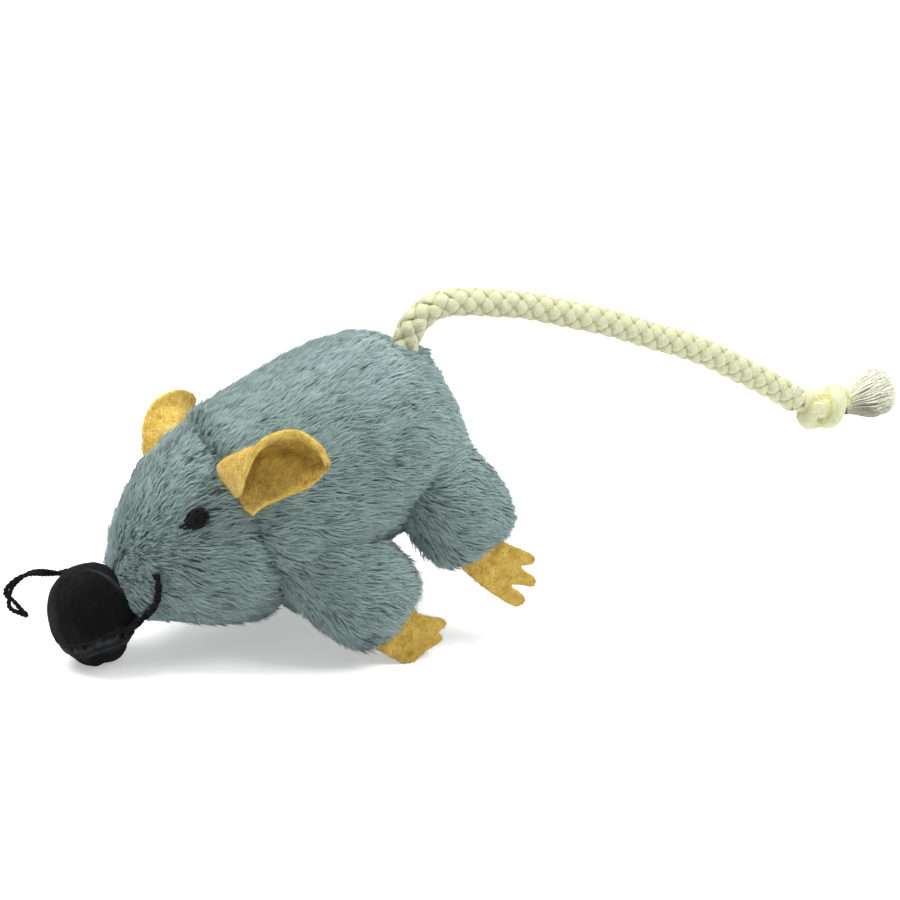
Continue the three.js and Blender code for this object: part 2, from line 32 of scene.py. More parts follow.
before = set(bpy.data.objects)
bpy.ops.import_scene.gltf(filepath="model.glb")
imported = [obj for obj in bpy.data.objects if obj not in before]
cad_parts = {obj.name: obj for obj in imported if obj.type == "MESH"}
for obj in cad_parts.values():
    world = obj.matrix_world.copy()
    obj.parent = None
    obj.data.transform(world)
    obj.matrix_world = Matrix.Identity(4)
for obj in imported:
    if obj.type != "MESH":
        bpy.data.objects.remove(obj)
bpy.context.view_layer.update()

# How it rests and where the solids put it
MILLIMETRE = 0.001
PITCH = math.radians(22)
ROW_SHIFT = np.array([18.4334, -4.5445, 0])
SIDES = {"left": -1, "right": 1}
RANDOM_SEED = 41
SMALLEST = 1e-9
WAVE_WAYS = np.array([[0.8, 0.5, -0.33], [-0.42, 0.83, 0.37], [0.21, -0.36, 0.91], [0.62, -0.71, 0.33]])
WAVE_STEPS = np.array([1.0, 1.31, 0.83, 1.67])
WAVE_HEIGHT = 1.6

# Camera and light
CAMERA_PLACE = (-212.47, -601.54, 336.2)
CAMERA_WAY = (0.3541, 0.8343, -0.4226)
CAMERA_LENS = 134.0
CAMERA_SENSOR = 36.0
CAMERA_CLIP = (0.05, 20)
WORLD_LIGHT = 0.3
WHITE = (1, 1, 1, 1)
FLOOR_COLOUR = (0.9, 0.9, 0.9, 1)
FLOOR_LIFT = 0.4
FLOOR_HALF_SIZE = 4.0
LIGHTS = [
    ("key", (0.75, -0.45, 1.1), 0.7, 14.5),
    ("top", (-0.5, 0.35, 1.3), 0.8, 20.5),
    ("back", (0.3, 0.9, 0.9), 0.7, 4.0),
]

# Stuffed forms, as the solids have them; rows hold share, half width, top and bottom
NECK_FORWARD = 14.0
SEAM_GAP = 0.3
BODY = {
    "start": -14.0, "length": 53.0, "half_width": 23.4, "low": 16.0, "height": 44.2,
    "rows": np.array([
        [0, 0.8, 0.925, -0.07], [0.02, 0.87, 0.965, -0.12], [0.075, 0.93, 0.993, -0.155],
        [0.26, 0.985, 1, -0.11], [0.445, 1, 0.995, -0.03], [0.63, 0.97, 0.975, 0],
        [0.78, 0.86, 0.92, 0.005], [0.885, 0.68, 0.806, 0.05], [0.95, 0.5, 0.69, 0.13],
        [0.985, 0.36, 0.6, 0.24], [1, 0.18, 0.5, 0.34],
    ]),
}
BODY_END_ROW = [1.003, 0.02, 0.42, 0.40]
HEAD = {
    "start": -14.3, "length": -30.0, "half_width": 21.3, "low": 14.2, "height": 44.6,
    "rows": np.array([
        [0, 0.86, 0.955, 0.05], [0.03, 0.93, 0.98, 0.015], [0.12, 0.962, 0.975, -0.012],
        [0.26, 0.93, 0.945, 0.002], [0.4, 0.867, 0.907, 0.046], [0.56, 0.765, 0.844, 0.112],
        [0.68, 0.67, 0.777, 0.17], [0.79, 0.56, 0.707, 0.215], [0.88, 0.465, 0.63, 0.25],
        [0.96, 0.375, 0.56, 0.29], [1, 0.27, 0.51, 0.33],
    ]),
}
LEG_ROWS = np.array([
    [0, 0.86, 0.9], [0.3, 0.95, 1], [0.55, 0.98, 0.97], [0.75, 0.95, 0.88],
    [0.88, 0.86, 0.75], [0.96, 0.7, 0.58], [1, 0.44, 0.34],
])
LEGS = {
    "front": {"hip": (-6.0, 13.0, 31.0), "end": (3.9, 24.4, 7.4), "half_width": 12.2, "half_thickness": 8.6},
    "hind": {"hip": (24.8, 12.0, 31.0), "end": (26.6, 24.4, 11.8), "half_width": 11.7, "half_thickness": 8.4},
}
FORM_ROWS = 90
TRUNK_SIDES = 120
LEG_SIDES = 90
LEG_END_SHARE = 1.004

# The woven ground under the pile, how it differs from the solids, and what it hides
SKIN_DEPTH = 1.4
COVERED_DEPTH = 0.4
END_SHARE = 0.75
RUMP_SINK = 0.7
RUMP_SHARE = 0.93
SHOULDER_PLACE = (37.0, 0.0, 46.0)
SHOULDER_WAY = np.array([0.64, 0.0, 0.77])
SHOULDER_RISE = 2.0
SHOULDER_REACH = 6.0
SNOUT_FILL = 0.8
SNOUT_SHARE = 0.78

# Pile: hairs in clumps that lean towards the tail; changes are shares of a normal spread
PILE_LENGTH = 3.2
NECK_SHARE = 0.5
NECK_REACH = 3.0
FACE_SHARE = 0.72
FACE_FADE = (-44.0, 16.0)
TUCK_FADE = (7.5, 4.0)
TUCK_SHARE = 1.15
TAIL_FUR_FADE = (3.6, 4.5)
TAIL_FUR_LIFT = math.radians(5)
TAIL_FUR_SHARE = -0.12
NOSE_CLEAR = 0.3
NOSE_PILE_REACH = 1.2
EYE_PILE_FADE = (1.2, 2.2)
MOUTH_PILE_FADE = (0.5, 1.8)
MOUTH_PILE_PLACES = 14
SHORTEST_PILE = 0.9
LENGTH_WAVES = [(0.16, 6.0, 4.0)]
LENGTH_CHANGES = (0.1, 0.14)
TONE_MIDDLE = 0.5
TONE_WAVES = [(0.16, 5.0, 2.2), (0.1, 17.0, 0.7)]
TONE_CHANGES = (0.11, 0.12)
LIFT = math.radians(31)
LIFT_CHANGES = (0.1, 0.1)
TIP_LIFT_SHARE = 0.4
TURN_CHANGE = 0.2
FLOW_TOP = 48.0
FLOW_FALL = 30.0
FLOW_DOWN = 0.75
FLOW_DROP = 0.28
SWIRL = math.radians(16)
SWIRL_WAVES = [(1, 11.0, 0.3), (0.6, 4.5, 1.9)]
HAIRS_IN_CLUMP = 7
CLUMPS_PER_MM2 = 1.36
CLUMP_SPREAD = 0.48
CLUMP_GATHER = 0.08
HALF_GATHER = 0.028
HAIR_HALF_WIDTH = 0.106
HAIR_TAPER = np.array([[1.0, 0.9, 0.3]])
WIDTH_CHANGE = 0.2
THINNEST_SHARE = 0.4
HAIR_OWN_SHARE = 0.22
HAIRS_IN_PIECE = 19000

# Felt
FELT_THICKNESS = 1.2
FELT_VOXEL = 0.28
FELT_SWELL_WAVE = (0.1, 3.0, 0.5)
FELT_SOFTEN = 0.5
FELT_SOFTEN_STEPS = 3
EDGE_STEPS = 5
FUZZ_LENGTH = 0.9
FUZZ_HALF_WIDTH = 0.035
FUZZ_TAPER = np.array([[1.0, 0.9, 0.4]])
FUZZ_ROOT = 0.1
FUZZ_LIFT = 0.5
FUZZ_BEND = 0.3
FUZZ_OWN_SHARE = 0.5
FUZZ_SHADE = 0.8
# Shade values of the felt: a plain level, a painted highlight on the edges, painted shade over the far ear's
# inner face
FELT_SHADE = 0.65
EDGE_PAINTED_HIGHLIGHT = 0.9
FAR_EAR_PAINTED_SHADE = 0.4
FOOT_WIDTH = 14.2
FOOT_FORWARDS = {"front": 1.8, "hind": 0.8}
FOOT_SPLAY = math.radians(15)
FOOT_LENGTHS = {"front": 13.0, "hind": 13.4}
FOOT_STEPS = 140
FOOT_WAVE = (0.07, 3.5, 1.2)
FOOT_FUZZ = 1400
FOOT_SHARES = {
    "hind": [
        (-0.36, -0.3), (-0.36, 0.02), (-0.25, 0.36), (-0.08, 0.74), (0.07, 0.99), (0.18, 1.03),
        (0.27, 0.98), (0.24, 0.84), (0.17, 0.66), (0.3, 0.74), (0.42, 0.85), (0.52, 0.84),
        (0.54, 0.73), (0.46, 0.58), (0.43, 0.46), (0.54, 0.52), (0.64, 0.53), (0.68, 0.44),
        (0.62, 0.33), (0.48, 0.15), (0.37, -0.02), (0.37, -0.3),
    ],
    "front": [
        (-0.38, -0.3), (-0.38, 0.02), (-0.33, 0.22), (-0.18, 0.49), (-0.08, 0.63), (0.06, 0.67),
        (0.2, 0.64), (0.36, 0.61), (0.5, 0.62), (0.58, 0.58), (0.57, 0.49), (0.5, 0.42),
        (0.6, 0.44), (0.7, 0.42), (0.74, 0.35), (0.68, 0.26), (0.52, 0.11), (0.42, 0),
        (0.42, -0.3),
    ],
}
EAR_LENGTH = 24.0
EAR_HALF_WIDTH = 8.46
EAR_ROOT_DEPTH = 3.6
EAR_STEPS = 72
EAR_WIDTH_STEPS = 56
EAR_SEAT_BACK = 0.25
EAR_UPPER_SHARE = 1.36
EAR_CURL_SPEED = 1.5
EAR_TWIST_REACH_SHARE = 0.55
EAR_TIP_BOW = 2.0
EAR_TIP_MIDDLE = 0.35
EAR_TIP_START = 0.84
EAR_TUCK_FADE = 0.5
EAR_TUCK_DEPTH = 4.0
EAR_WAVE = (0.12, 7.0, 0.2)
EAR_FUZZ = 5200
EAR_WIDTHS = np.array([
    [0, 1.1], [0.15, 1.05], [0.35, 0.98], [0.55, 0.89], [0.72, 0.757], [0.85, 0.625], [0.94, 0.468],
    [1, 0.259],
])
EAR_CURLS = np.array([[0, 215], [0.2, 193], [0.4, 147], [0.6, 86], [0.8, 64], [1, 95]])
EAR_LOWER_CURLS = np.array([[0, 1.5], [0.3, 8], [0.6, 16], [0.8, 17], [1, 11]])
EAR_POSES = {
    "left": {
        "seat": 41.4, "fold": 61, "bend": 69, "droop": 27, "sag": 47, "twist": -5.4, "open": 1.0,
        "tuck": (-13.9, 46.7),
    },
    "right": {"seat": 53.8, "fold": 2.4, "bend": 30, "droop": 52.5, "sag": 11.6, "twist": 83, "open": 0.69},
}

# Eyes
EYE_SHARE = 0.325
EYE_ANGLE = math.radians(50.5)
EYE_HALF = np.array([2.75, 1.95, 1.5])
EYE_BACK = {"left": 0.8, "right": -0.7}
EYE_CORE_SHARE = 0.86
EYE_LOOPS = 9
EYE_LOOP_SHARE = 0.9
EYE_LOOP_TILTS = [24, 54, 84]
EYE_LOOP_HEIGHTS = [0.22, 0.42, 0.62, 0.82]
THREAD_RADIUS = 0.36
THREAD_END_RADII = (0.4, 0.25)
THREAD_TURNS = 2.0
EYE_ENDS = [
    [[1.8, -0.2, 0.8], [2.6, -0.2, 0.9], [3.3, -0.25, 0.8], [3.9, -0.3, 0.5]],
    [[1.6, 0.5, 0.7], [2.3, 0.6, 0.8], [2.9, 0.5, 0.7], [3.3, 0.3, 0.4]],
]

# Nose: its turned outline, and the fold, lobe and gathers on its underside
NOSE_RADIUS = 9.5
NOSE_HALF_HEIGHT = 11.3
NOSE_FORWARD = 58.1
NOSE_TILT = math.radians(10)
NOSE_ROWS = 110
NOSE_SIDES = 160
NOSE_PROFILE = np.array([
    [0, 1], [0.22, 0.98], [0.44, 0.91], [0.64, 0.79], [0.8, 0.62], [0.92, 0.4], [0.99, 0.14],
    [1, -0.06], [0.96, -0.26], [0.87, -0.44], [0.77, -0.55], [0.72, -0.63], [0.64, -0.73],
    [0.46, -0.88], [0.26, -0.97], [0, -1],
])
FLAT_DEPTH = 0.5
FOLD_HEIGHT = -3.3
FOLD_RISE = 1.8
FOLD_SLANT = 1.8
NEAR_ANGLE = math.radians(-113)
LOW_FADE = (0, 5.0)
GROOVE_HILL = (0, 0.55)
GROOVE_DEPTH = 0.5
GROOVE_LEAST = 0.12
GROOVE_FADE = (0.2, 0.6)
LOBE_HILL = (2.2, 1.6)
LOBE_RISE = 0.35
CREASE_ANGLE = math.radians(-125)
CREASE_SLANT = 0.05
CREASE_REACH = 0.07
CREASE_FADE = (1.0, 1.5)
CREASE_SHARE = 0.05
GATHERS = [(0.03, 5, 0.8), (0.02, 9, 2.1)]
GATHER_LIFT = 0.4
NOSE_BULGE = 1.1
BULGE_FADES = [(0.2, 0.8), (-0.5, 2), (-9, 6)]
NOSE_DRAW = 0.09
DRAW_FADE = (0.5, 2)
NOSE_DENTS = [(0.14, 8.0, 1.1), (0.06, 3.2, 0.4)]
NOSE_SINK = 0.1
# Painted sheen on the velvet: pale bands below the fold and along the crease, and a painted highlight stripe
# near the top
PAINTED_SHEEN_HILLS = [(0.9, 0.8), (3.6, 0.5)]
PAINTED_SHEEN_WAVE = (0.5, 3.0, 2.0)
SHEEN_BLOOM_ANGLE = math.radians(-42)
SHEEN_BLOOM_HALF_ANGLE = 0.16
SHEEN_BLOOM_FADE = (0.15, 0.4)
SHEEN_BLOOM_SHARE = 0.8

# Yarn of the smile, its knot and the loose end
YARN_RADIUS = 0.7
YARN_PLIES = 2
YARN_SIDES = 8
YARN_TURNS = 1.2
YARN_PLY_REACH = 0.46
YARN_SINGLE_PITCH = 2.4
YARN_SINGLE_SHARE = 0.5
YARN_SINGLE_REACH = 0.3
YARN_SWELL = (0.06, 2.1)
YARN_FUZZ = 9
YARN_FUZZ_SIZE = (0.7, 0.02)
MOUTH_SINK = 0.4
MOUTH_PITCH = 5.5
MOUTH_PLACES = [(0.7, 67), (0.72, 76), (0.765, 88), (0.82, 98), (0.89, 108)]
MOUTH_KNOT_STEP = (4.2, -9.9, -1.8)
COIL_RADIUS = 0.75
COIL_UNEVEN = (0.1, 2.5)
COIL_HALF_LENGTH = 0.5
COIL_SWAY = (0.35, 1.5)
COIL_YARN_RADIUS = 0.5
COIL_PITCH = 3.0
COIL_END = [[-0.4, -0.3, -0.6], [-1.3, 0.3, -0.9], [-2.2, 1.0, -0.9]]
YARN_END_PITCH = 16.0
YARN_END_PHASE = 0.6
YARN_END_SLACKS = [(0.3, 0.2, 0.1), (0.7, 0.84, 0.08)]
YARN_END_ROUTE = np.array([
    [-44.2, 7.6, 31.5], [-46.4, 10.4, 34.4], [-49, 10.9, 36.6], [-51.9, 10.3, 38.6],
    [-54.2, 9.1, 41], [-56.3, 8.4, 42.7], [-58.4, 8, 43.4], [-60.3, 7.8, 43.4],
    [-62, 7.9, 42.7], [-63.2, 8.1, 41.3], [-63.4, 8.3, 39.5], [-62.9, 8.2, 37.4], [-61.7, 8, 34.7],
])

# Rope tail; a strand's measures are a middle value and its change where it rises
ROPE_RADIUS = 3.0
ROPE_HIDDEN = 3.6
TAIL_STEPS = 320
TAIL_ROUTE = np.array([
    [34.4, 51.8], [36.4, 53.7], [38.8, 55], [42.4, 55.6], [46, 54.7], [48.8, 53.2], [51.8, 51.4],
    [55.6, 48.7], [59.6, 46], [63.4, 42.9], [67, 39.6], [70.7, 36.2], [74.5, 32.8], [78.2, 29.2],
    [81.8, 25.4], [85.4, 21.5], [89.3, 17.6], [92.9, 13.5], [96.5, 9], [99.9, 4.1],
    [103.4, -0.8], [106.9, -6], [109.6, -10.6],
])
BRAID_PITCH = 16.0
BRAID_STRANDS = 4
STRAND_REACH = (2.05, 0.42)
STRAND_HALF_WIDTH = (1.3, 0.16)
STRAND_HALF_THICKNESS = (0.62, 0.1)
STRAND_SIDES = 12
ROPE_FUZZ = 900
ROPE_FUZZ_SIZE = (0.9, 0.022)

# How deep cotton lies between its neighbours, 0 in a crevice and 1 where it is loose. The colour it sets is
# partly the cotton's own yellow and partly painted shade in the crevices, and painted light that makes the
# loose tuft paler
MIDDLE_DEPTH = 0.5
OVER_DEPTH = 0.28
RISE_DEPTH = 0.24
CROWN_DEPTH = 0.84
LEAST_KNOT_DEPTH = 0.2
FLUTE_DEPTH = 2.2
ROPE_FUZZ_DEPTH = 0.75
TUFT_DEPTH = 0.88
TUFT_DEPTH_RISE = 0.12
TUFT_DEPTH_CHANGE = 0.03
LEAST_TUFT_DEPTH = 0.6

# Knot, in shares of its length along, up and out, and tuft
BUNDLE_SIDES = 56
BUNDLE_LAY = 26.0
CREVICE_REACH = 1.1
KNOT_LENGTH = 12.0
KNOT_STEPS = 90
KNOT_MIDDLE = (115.2, -16.7)
KNOT_TILT = math.radians(-28.2)
KNOT_STRAND_RADIUS = 2.55
KNOT_BAND_RADIUS = 2.6
KNOT_CORE = [[-0.52, 0.2, 0.02], [-0.2, 0.17, 0.02], [0.15, 0.15, -0.02], [0.46, 0.17, -0.03]]
KNOT_BIGHT = [
    [0.1, 0.08, 0.14], [-0.12, 0.09, 0.14], [-0.28, 0.06, 0.12], [-0.33, -0.09, 0.06],
    [-0.24, -0.19, 0], [-0.08, -0.19, -0.03], [0.1, -0.12, -0.05],
]
KNOT_BAND = [
    [0.26, 0.24, -0.05], [0.18, 0.25, 0.1], [0.13, 0.11, 0.2], [0.1, -0.09, 0.16],
    [0.12, -0.18, 0.02], [0.2, -0.09, -0.14], [0.26, 0.09, -0.2], [0.26, 0.24, -0.05],
]
KNOT_INTO = [[-0.5, 0.19, 0.02], [-0.4, 0.19, 0.02]]
KNOT_GRIP = 1.5
KNOT_SQUEEZE = 0.3
KNOT_FUZZ = 500
TUFT_LENGTH = 12.0
TUFT_ROOT_RADIUS = 2.4
TUFT_RADIUS = 5.6
TUFT_TILT = math.radians(-11)
TUFT_ROOT = (0.44, 0.03, -0.03)
TUFT_FIBRES = 4200
TUFT_LEVELS = 6
TUFT_SWAY = 0.15
TUFT_HALF_WIDTHS = (0.16, 0.13)
TUFT_OWN_SHARE = 0.15

rng = np.random.default_rng(RANDOM_SEED)


# Small helpers
def unit(vectors):
    """Each vector divided by its length."""
    return vectors / np.maximum(np.linalg.norm(vectors, axis=-1, keepdims=True), SMALLEST)


def square_to(vectors, way):
    """What is left of each vector square to the way there, with length one."""
    return unit(vectors - way * np.einsum("...j,...j->...", vectors, way)[..., None])


def smooth_step(share):
    """0 below 0, 1 above 1, and a cubic between."""
    t = np.clip(share, 0, 1)
    return t * t * (3 - 2 * t)


def rising(value, start, reach):
    """A smooth step from 0 at the start to 1 past the reach."""
    return smooth_step((value - start) / reach)


def hill(value, middle, reach):
    """A bell curve, 1 at its middle."""
    return np.exp(-((value - middle) / reach) ** 2)


def circle(count):
    """Angles at even steps once round."""
    return 2 * np.pi * np.arange(count) / count


def round_about(angle, side, up):
    """The way out at an angle round a path, from its side and up."""
    return np.cos(angle)[..., None] * side + np.sin(angle)[..., None] * up


def wobble(points, wavelength, phase):
    """A smooth random-looking wave of place, about -1 to 1: the mean of sines in fixed ways."""
    turns = points @ (WAVE_WAYS * WAVE_STEPS[:, None]).T * (2 * np.pi / wavelength)
    return np.sin(turns + phase * (1 + WAVE_STEPS)).mean(axis=-1) * WAVE_HEIGHT


def waves(points, rows):
    """The sum of waves, each a share, a wavelength and a phase."""
    return sum(share * wobble(points, wavelength, phase) for share, wavelength, phase in rows)


def rumpled(points, depth, wavelength, phase):
    """Points moved a little along all three axes by waves of place."""
    return points + depth * np.stack([wobble(points, wavelength, k + phase) for k in range(3)], axis=-1)


def spread(rows, shares):
    """Values of a table of rows at the shares, on the smooth curve that the solids use: a cubic
    between two rows whose slope at a row is the slope from the row before to the row after."""
    i = np.clip(np.searchsorted(rows[:, 0], shares, side="left") - 1, 0, len(rows) - 2)
    start, end = rows[i], rows[i + 1]
    before, after = rows[np.maximum(i - 1, 0)], rows[np.minimum(i + 2, len(rows) - 1)]
    gap = end[..., :1] - start[..., :1]
    t = (shares[..., None] - start[..., :1]) / gap
    first, last = (i == 0)[..., None], (i + 2 > len(rows) - 1)[..., None]
    with np.errstate(divide="ignore", invalid="ignore"):
        slope_start = np.where(first, end - start, (end - before) / (end[..., :1] - before[..., :1]) * gap)
        slope_end = np.where(last, end - start, (after - start) / (after[..., :1] - start[..., :1]) * gap)
    return ((2 * t**3 - 3 * t**2 + 1) * start + (t**3 - 2 * t**2 + t) * slope_start
            + (3 * t**2 - 2 * t**3) * end + (t**3 - t**2) * slope_end)[..., 1:]


def run_along(path):
    """How far along a path each of its points lies."""
    return np.concatenate([[0], np.cumsum(np.linalg.norm(np.diff(path, axis=0), axis=1))])


def evenly(route, count):
    """Points at even distances on a smooth curve through the route's points, and its length."""
    route = np.asarray(route, float)
    ends = np.vstack([2 * route[0] - route[1], route, 2 * route[-1] - route[-2]])
    t = np.linspace(0, 1, 24, endpoint=False)[:, None]
    dense = np.vstack([
        0.5 * (2 * b + (c - a) * t + (2 * a - 5 * b + 4 * c - d) * t**2 + (3 * b - a - 3 * c + d) * t**3)
        for a, b, c, d in zip(ends[:-3], ends[1:-2], ends[2:-1], ends[3:])
    ] + [route[-1:]])
    run = run_along(dense)
    at = np.linspace(0, run[-1], count)
    return np.stack([np.interp(at, run, column) for column in dense.T], axis=1), run[-1]


def frames_along(path, reference):
    """Tangent, side and up of each point of a path; the sides stay square to the reference."""
    way = unit(np.gradient(path, axis=0))
    side = unit(np.cross(np.broadcast_to(reference, way.shape), way))
    return way, side, np.cross(way, side)


def pitched(points, sign):
    """Turned nose down by the pitch about the right-hand axis, or back where the sign is -1."""
    x, y, z = np.moveaxis(np.asarray(points, float), -1, 0)
    c, s = math.cos(PITCH), sign * math.sin(PITCH)
    return np.stack([x * c - z * s, y, x * s + z * c], axis=-1)


def to_row(points):
    """From the mouse's own frame in millimetres to the solids' frame in metres."""
    return (pitched(points, 1) + ROW_SHIFT) * MILLIMETRE


def in_middle(rows):
    """Places back and up as points in the mouse's middle plane."""
    return np.insert(np.asarray(rows, float), 1, 0, axis=-1)


# Meshes. A part is points, rows of three indices, values at the points by name, and uv.
def placed(name, data):
    """A new object in the scene."""
    item = bpy.data.objects.new(name, data)
    bpy.context.scene.collection.objects.link(item)
    return item


def make_piece(name, node, part, material, body, normals=None):
    """A mesh object at the origin from a part in the mouse's frame, shown in place of that node if
    one is named. What would reach under the floor lies flat on it."""
    points, faces, values, uv = part
    points = to_row(points).astype(np.float32)
    points[:, 2] = np.maximum(points[:, 2], 0)
    faces = np.asarray(faces, np.int32)
    mesh = bpy.data.meshes.new(name)
    mesh.vertices.add(len(points))
    mesh.vertices.foreach_set("co", points.ravel())
    mesh.loops.add(faces.size)
    mesh.loops.foreach_set("vertex_index", faces.ravel())
    mesh.polygons.add(len(faces))
    mesh.polygons.foreach_set("loop_start", np.arange(0, faces.size, 3, dtype=np.int32))
    mesh.polygons.foreach_set("use_smooth", np.ones(len(faces), bool))
    mesh.update(calc_edges=True)
    for word, numbers in values.items():
        layer = mesh.attributes.new(word, "FLOAT", "POINT")
        layer.data.foreach_set("value", np.asarray(numbers, np.float32).ravel())
    if uv is not None:
        layer = mesh.uv_layers.new(name="cloth")
        layer.data.foreach_set("uv", np.asarray(uv, np.float32)[faces.ravel()].ravel())
    if normals is not None:
        mesh.normals_split_custom_set_from_vertices(pitched(normals, 1).astype(np.float32))
    mesh.materials.append(material)
    piece = placed(name, mesh)
    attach(piece, body)
    if node:
        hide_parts(node)
    return piece


def facing_out(points, faces):
    """The triangles of a closed form, all turned over if they enclose less than nothing."""
    a, b, c = np.moveaxis(points[faces], 1, 0)
    return faces if (a * np.cross(b, c)).sum() > 0 else faces[:, ::-1]


def closed_tube(rings):
    """Points and triangles of rings of points joined into one closed form, with a fan at each
    end about the ring's middle."""
    rows, count = rings.shape[:2]
    points = np.vstack([rings.reshape(-1, 3), rings[0].mean(axis=0), rings[-1].mean(axis=0)])
    i, j = np.meshgrid(np.arange(rows - 1), np.arange(count), indexing="ij")
    a = (i * count + j).ravel()
    b = (i * count + (j + 1) % count).ravel()
    j = np.arange(count)
    first, end = rows * count, (rows - 1) * count
    faces = np.vstack([
        np.stack([a, b, b + count], 1),
        np.stack([a, b + count, a + count], 1),
        np.stack([np.full(count, first), (j + 1) % count, j], 1),
        np.stack([np.full(count, first + 1), end + j, end + (j + 1) % count], 1),
    ])
    return points, facing_out(points, faces)


def join_parts(parts):
    """Many parts as one, with uv only if they all have it."""
    starts = np.cumsum([0] + [len(part[0]) for part in parts])
    faces = np.vstack([part[1] + start for part, start in zip(parts, starts)])
    values = {word: np.concatenate([part[2][word] for part in parts]) for word in parts[0][2]}
    mapped = all(part[3] is not None for part in parts)
    uv = np.vstack([part[3] for part in parts]) if mapped else None
    return np.vstack([part[0] for part in parts]), faces, values, uv


def strand(path, half_width, half_thickness, sides, facing, turns=0.0):
    """A closed strand along a path with an oval section, its thickness along the facing vectors;
    uv runs along it in millimetres and once round it."""
    way = unit(np.gradient(path, axis=0))
    up = square_to(facing, way)
    side = np.cross(up, way)
    run = run_along(path)
    angle = circle(sides)[None, :] + turns * run[:, None]
    half_width = np.broadcast_to(half_width, run.shape)[:, None, None]
    half_thickness = np.broadcast_to(half_thickness, run.shape)[:, None, None]
    rings = (path[:, None] + np.cos(angle)[..., None] * side[:, None] * half_width
             + np.sin(angle)[..., None] * up[:, None] * half_thickness)
    uv = np.stack([np.repeat(run, sides), np.tile(np.arange(sides) / sides, len(run))], 1)
    return *closed_tube(rings), {}, np.vstack([uv, [[run[0], 0.5], [run[-1], 0.5]]])


def hairs(paths, half_widths, facing, own_share):
    """Closed three-sided hairs: paths (count, levels, 3), half widths (count, levels), and the
    way each faces. All levels but the last are triangles; the last is the tip. The normals are
    the hair's own mixed with the way it faces, so that the pile shades as one soft surface.
    Returns points, faces, normals, each point's share along its hair and the points in a hair."""
    count, levels = paths.shape[:2]
    way = unit(np.gradient(paths, axis=1))
    up = square_to(facing[:, None], way)
    side = np.cross(up, way)
    angle = 2 * np.pi * (np.arange(3) + 0.25) / 3
    out = np.cos(angle)[:, None] * side[:, :-1, None] + np.sin(angle)[:, None] * up[:, :-1, None]
    rings = paths[:, :-1, None] + out * half_widths[:, :-1, None, None]
    points = np.concatenate([rings.reshape(count, -1, 3), paths[:, -1:]], axis=1)
    normals = np.concatenate([out.reshape(count, -1, 3), way[:, -1:]], axis=1)
    normals = unit(own_share * normals + (1 - own_share) * facing[:, None])
    size = points.shape[1]
    faces = [[0, 2, 1]]
    for level in range(levels - 2):
        for j in range(3):
            a, b = 3 * level + j, 3 * level + (j + 1) % 3
            faces += [[a, b, b + 3], [a, b + 3, a + 3]]
    end = 3 * (levels - 2)
    faces += [[end + j, end + (j + 1) % 3, size - 1] for j in range(3)]
    faces = (np.arange(count)[:, None, None] * size + np.array(faces)[None]).reshape(-1, 3)
    reach = np.concatenate([np.repeat(np.linspace(0, 1, levels)[:-1], 3), [1.0]])
    return points.reshape(-1, 3), faces, normals.reshape(-1, 3), np.tile(reach, count), size


def fuzz(points, faces, count, size, **values):
    """Loose fibres that lie nearly flat on the triangles, in random ways, as one part; the size
    is their length and half width, and the values are the same all over."""
    corner = points[faces]
    outward = unit(np.cross(corner[:, 1] - corner[:, 0], corner[:, 2] - corner[:, 0]))
    chosen = rng.integers(0, len(corner), count)
    root, out = corner.mean(axis=1)[chosen], outward[chosen]
    way = square_to(rng.normal(size=(count, 3)), out)
    lift = np.abs(FUZZ_LIFT * rng.normal(size=(count, 1)))
    step = size[0] * (0.6 + 0.8 * rng.random((count, 1))) / 2
    half = root + step * unit(way + lift * out)
    bend = unit(way + 0.5 * lift * out + FUZZ_BEND * rng.normal(size=(count, 3)))
    paths = np.stack([root - FUZZ_ROOT * out, half, half + step * bend], axis=1)
    points, faces, _, _, _ = hairs(paths, size[1] * FUZZ_TAPER * np.ones((count, 1)), out, FUZZ_OWN_SHARE)
    values = {word: np.full(len(points), number) for word, number in values.items()}
    return points, faces, values, np.zeros((len(points), 2))


# Camera, light and stage
def make_camera():
    """The photograph's camera, found by laying the solids over the picture."""
    data = bpy.data.cameras.new("camera")
    data.lens = CAMERA_LENS
    data.sensor_width = CAMERA_SENSOR
    data.clip_start, data.clip_end = CAMERA_CLIP
    camera = placed("camera", data)
    camera.location = Vector(CAMERA_PLACE) * MILLIMETRE
    camera.rotation_euler = Vector(CAMERA_WAY).to_track_quat("-Z", "Y").to_euler()
    bpy.context.scene.camera = camera


def make_light(name, place, size, power):
    """A square soft light that looks at the mouse."""
    data = bpy.data.lights.new(name, "AREA")
    data.shape = "SQUARE"
    data.size = size
    data.energy = power
    light = placed(name, data)
    light.location = place
    light.rotation_euler = (-Vector(place)).to_track_quat("-Z", "Y").to_euler()


def make_world():
    """White to the camera, softer as a light."""
    world = bpy.data.worlds.new("studio")
    bpy.context.scene.world = world
    world.use_nodes = True
    nodes, links = world.node_tree.nodes, world.node_tree.links
    background = nodes["Background"]
    background.inputs["Color"].default_value = WHITE
    path = nodes.new("ShaderNodeLightPath")
    strength = nodes.new("ShaderNodeMapRange")
    strength.inputs["To Min"].default_value = WORLD_LIGHT
    strength.inputs["To Max"].default_value = 1
    links.new(path.outputs["Is Camera Ray"], strength.inputs["Value"])
    links.new(strength.outputs["Result"], background.inputs["Strength"])


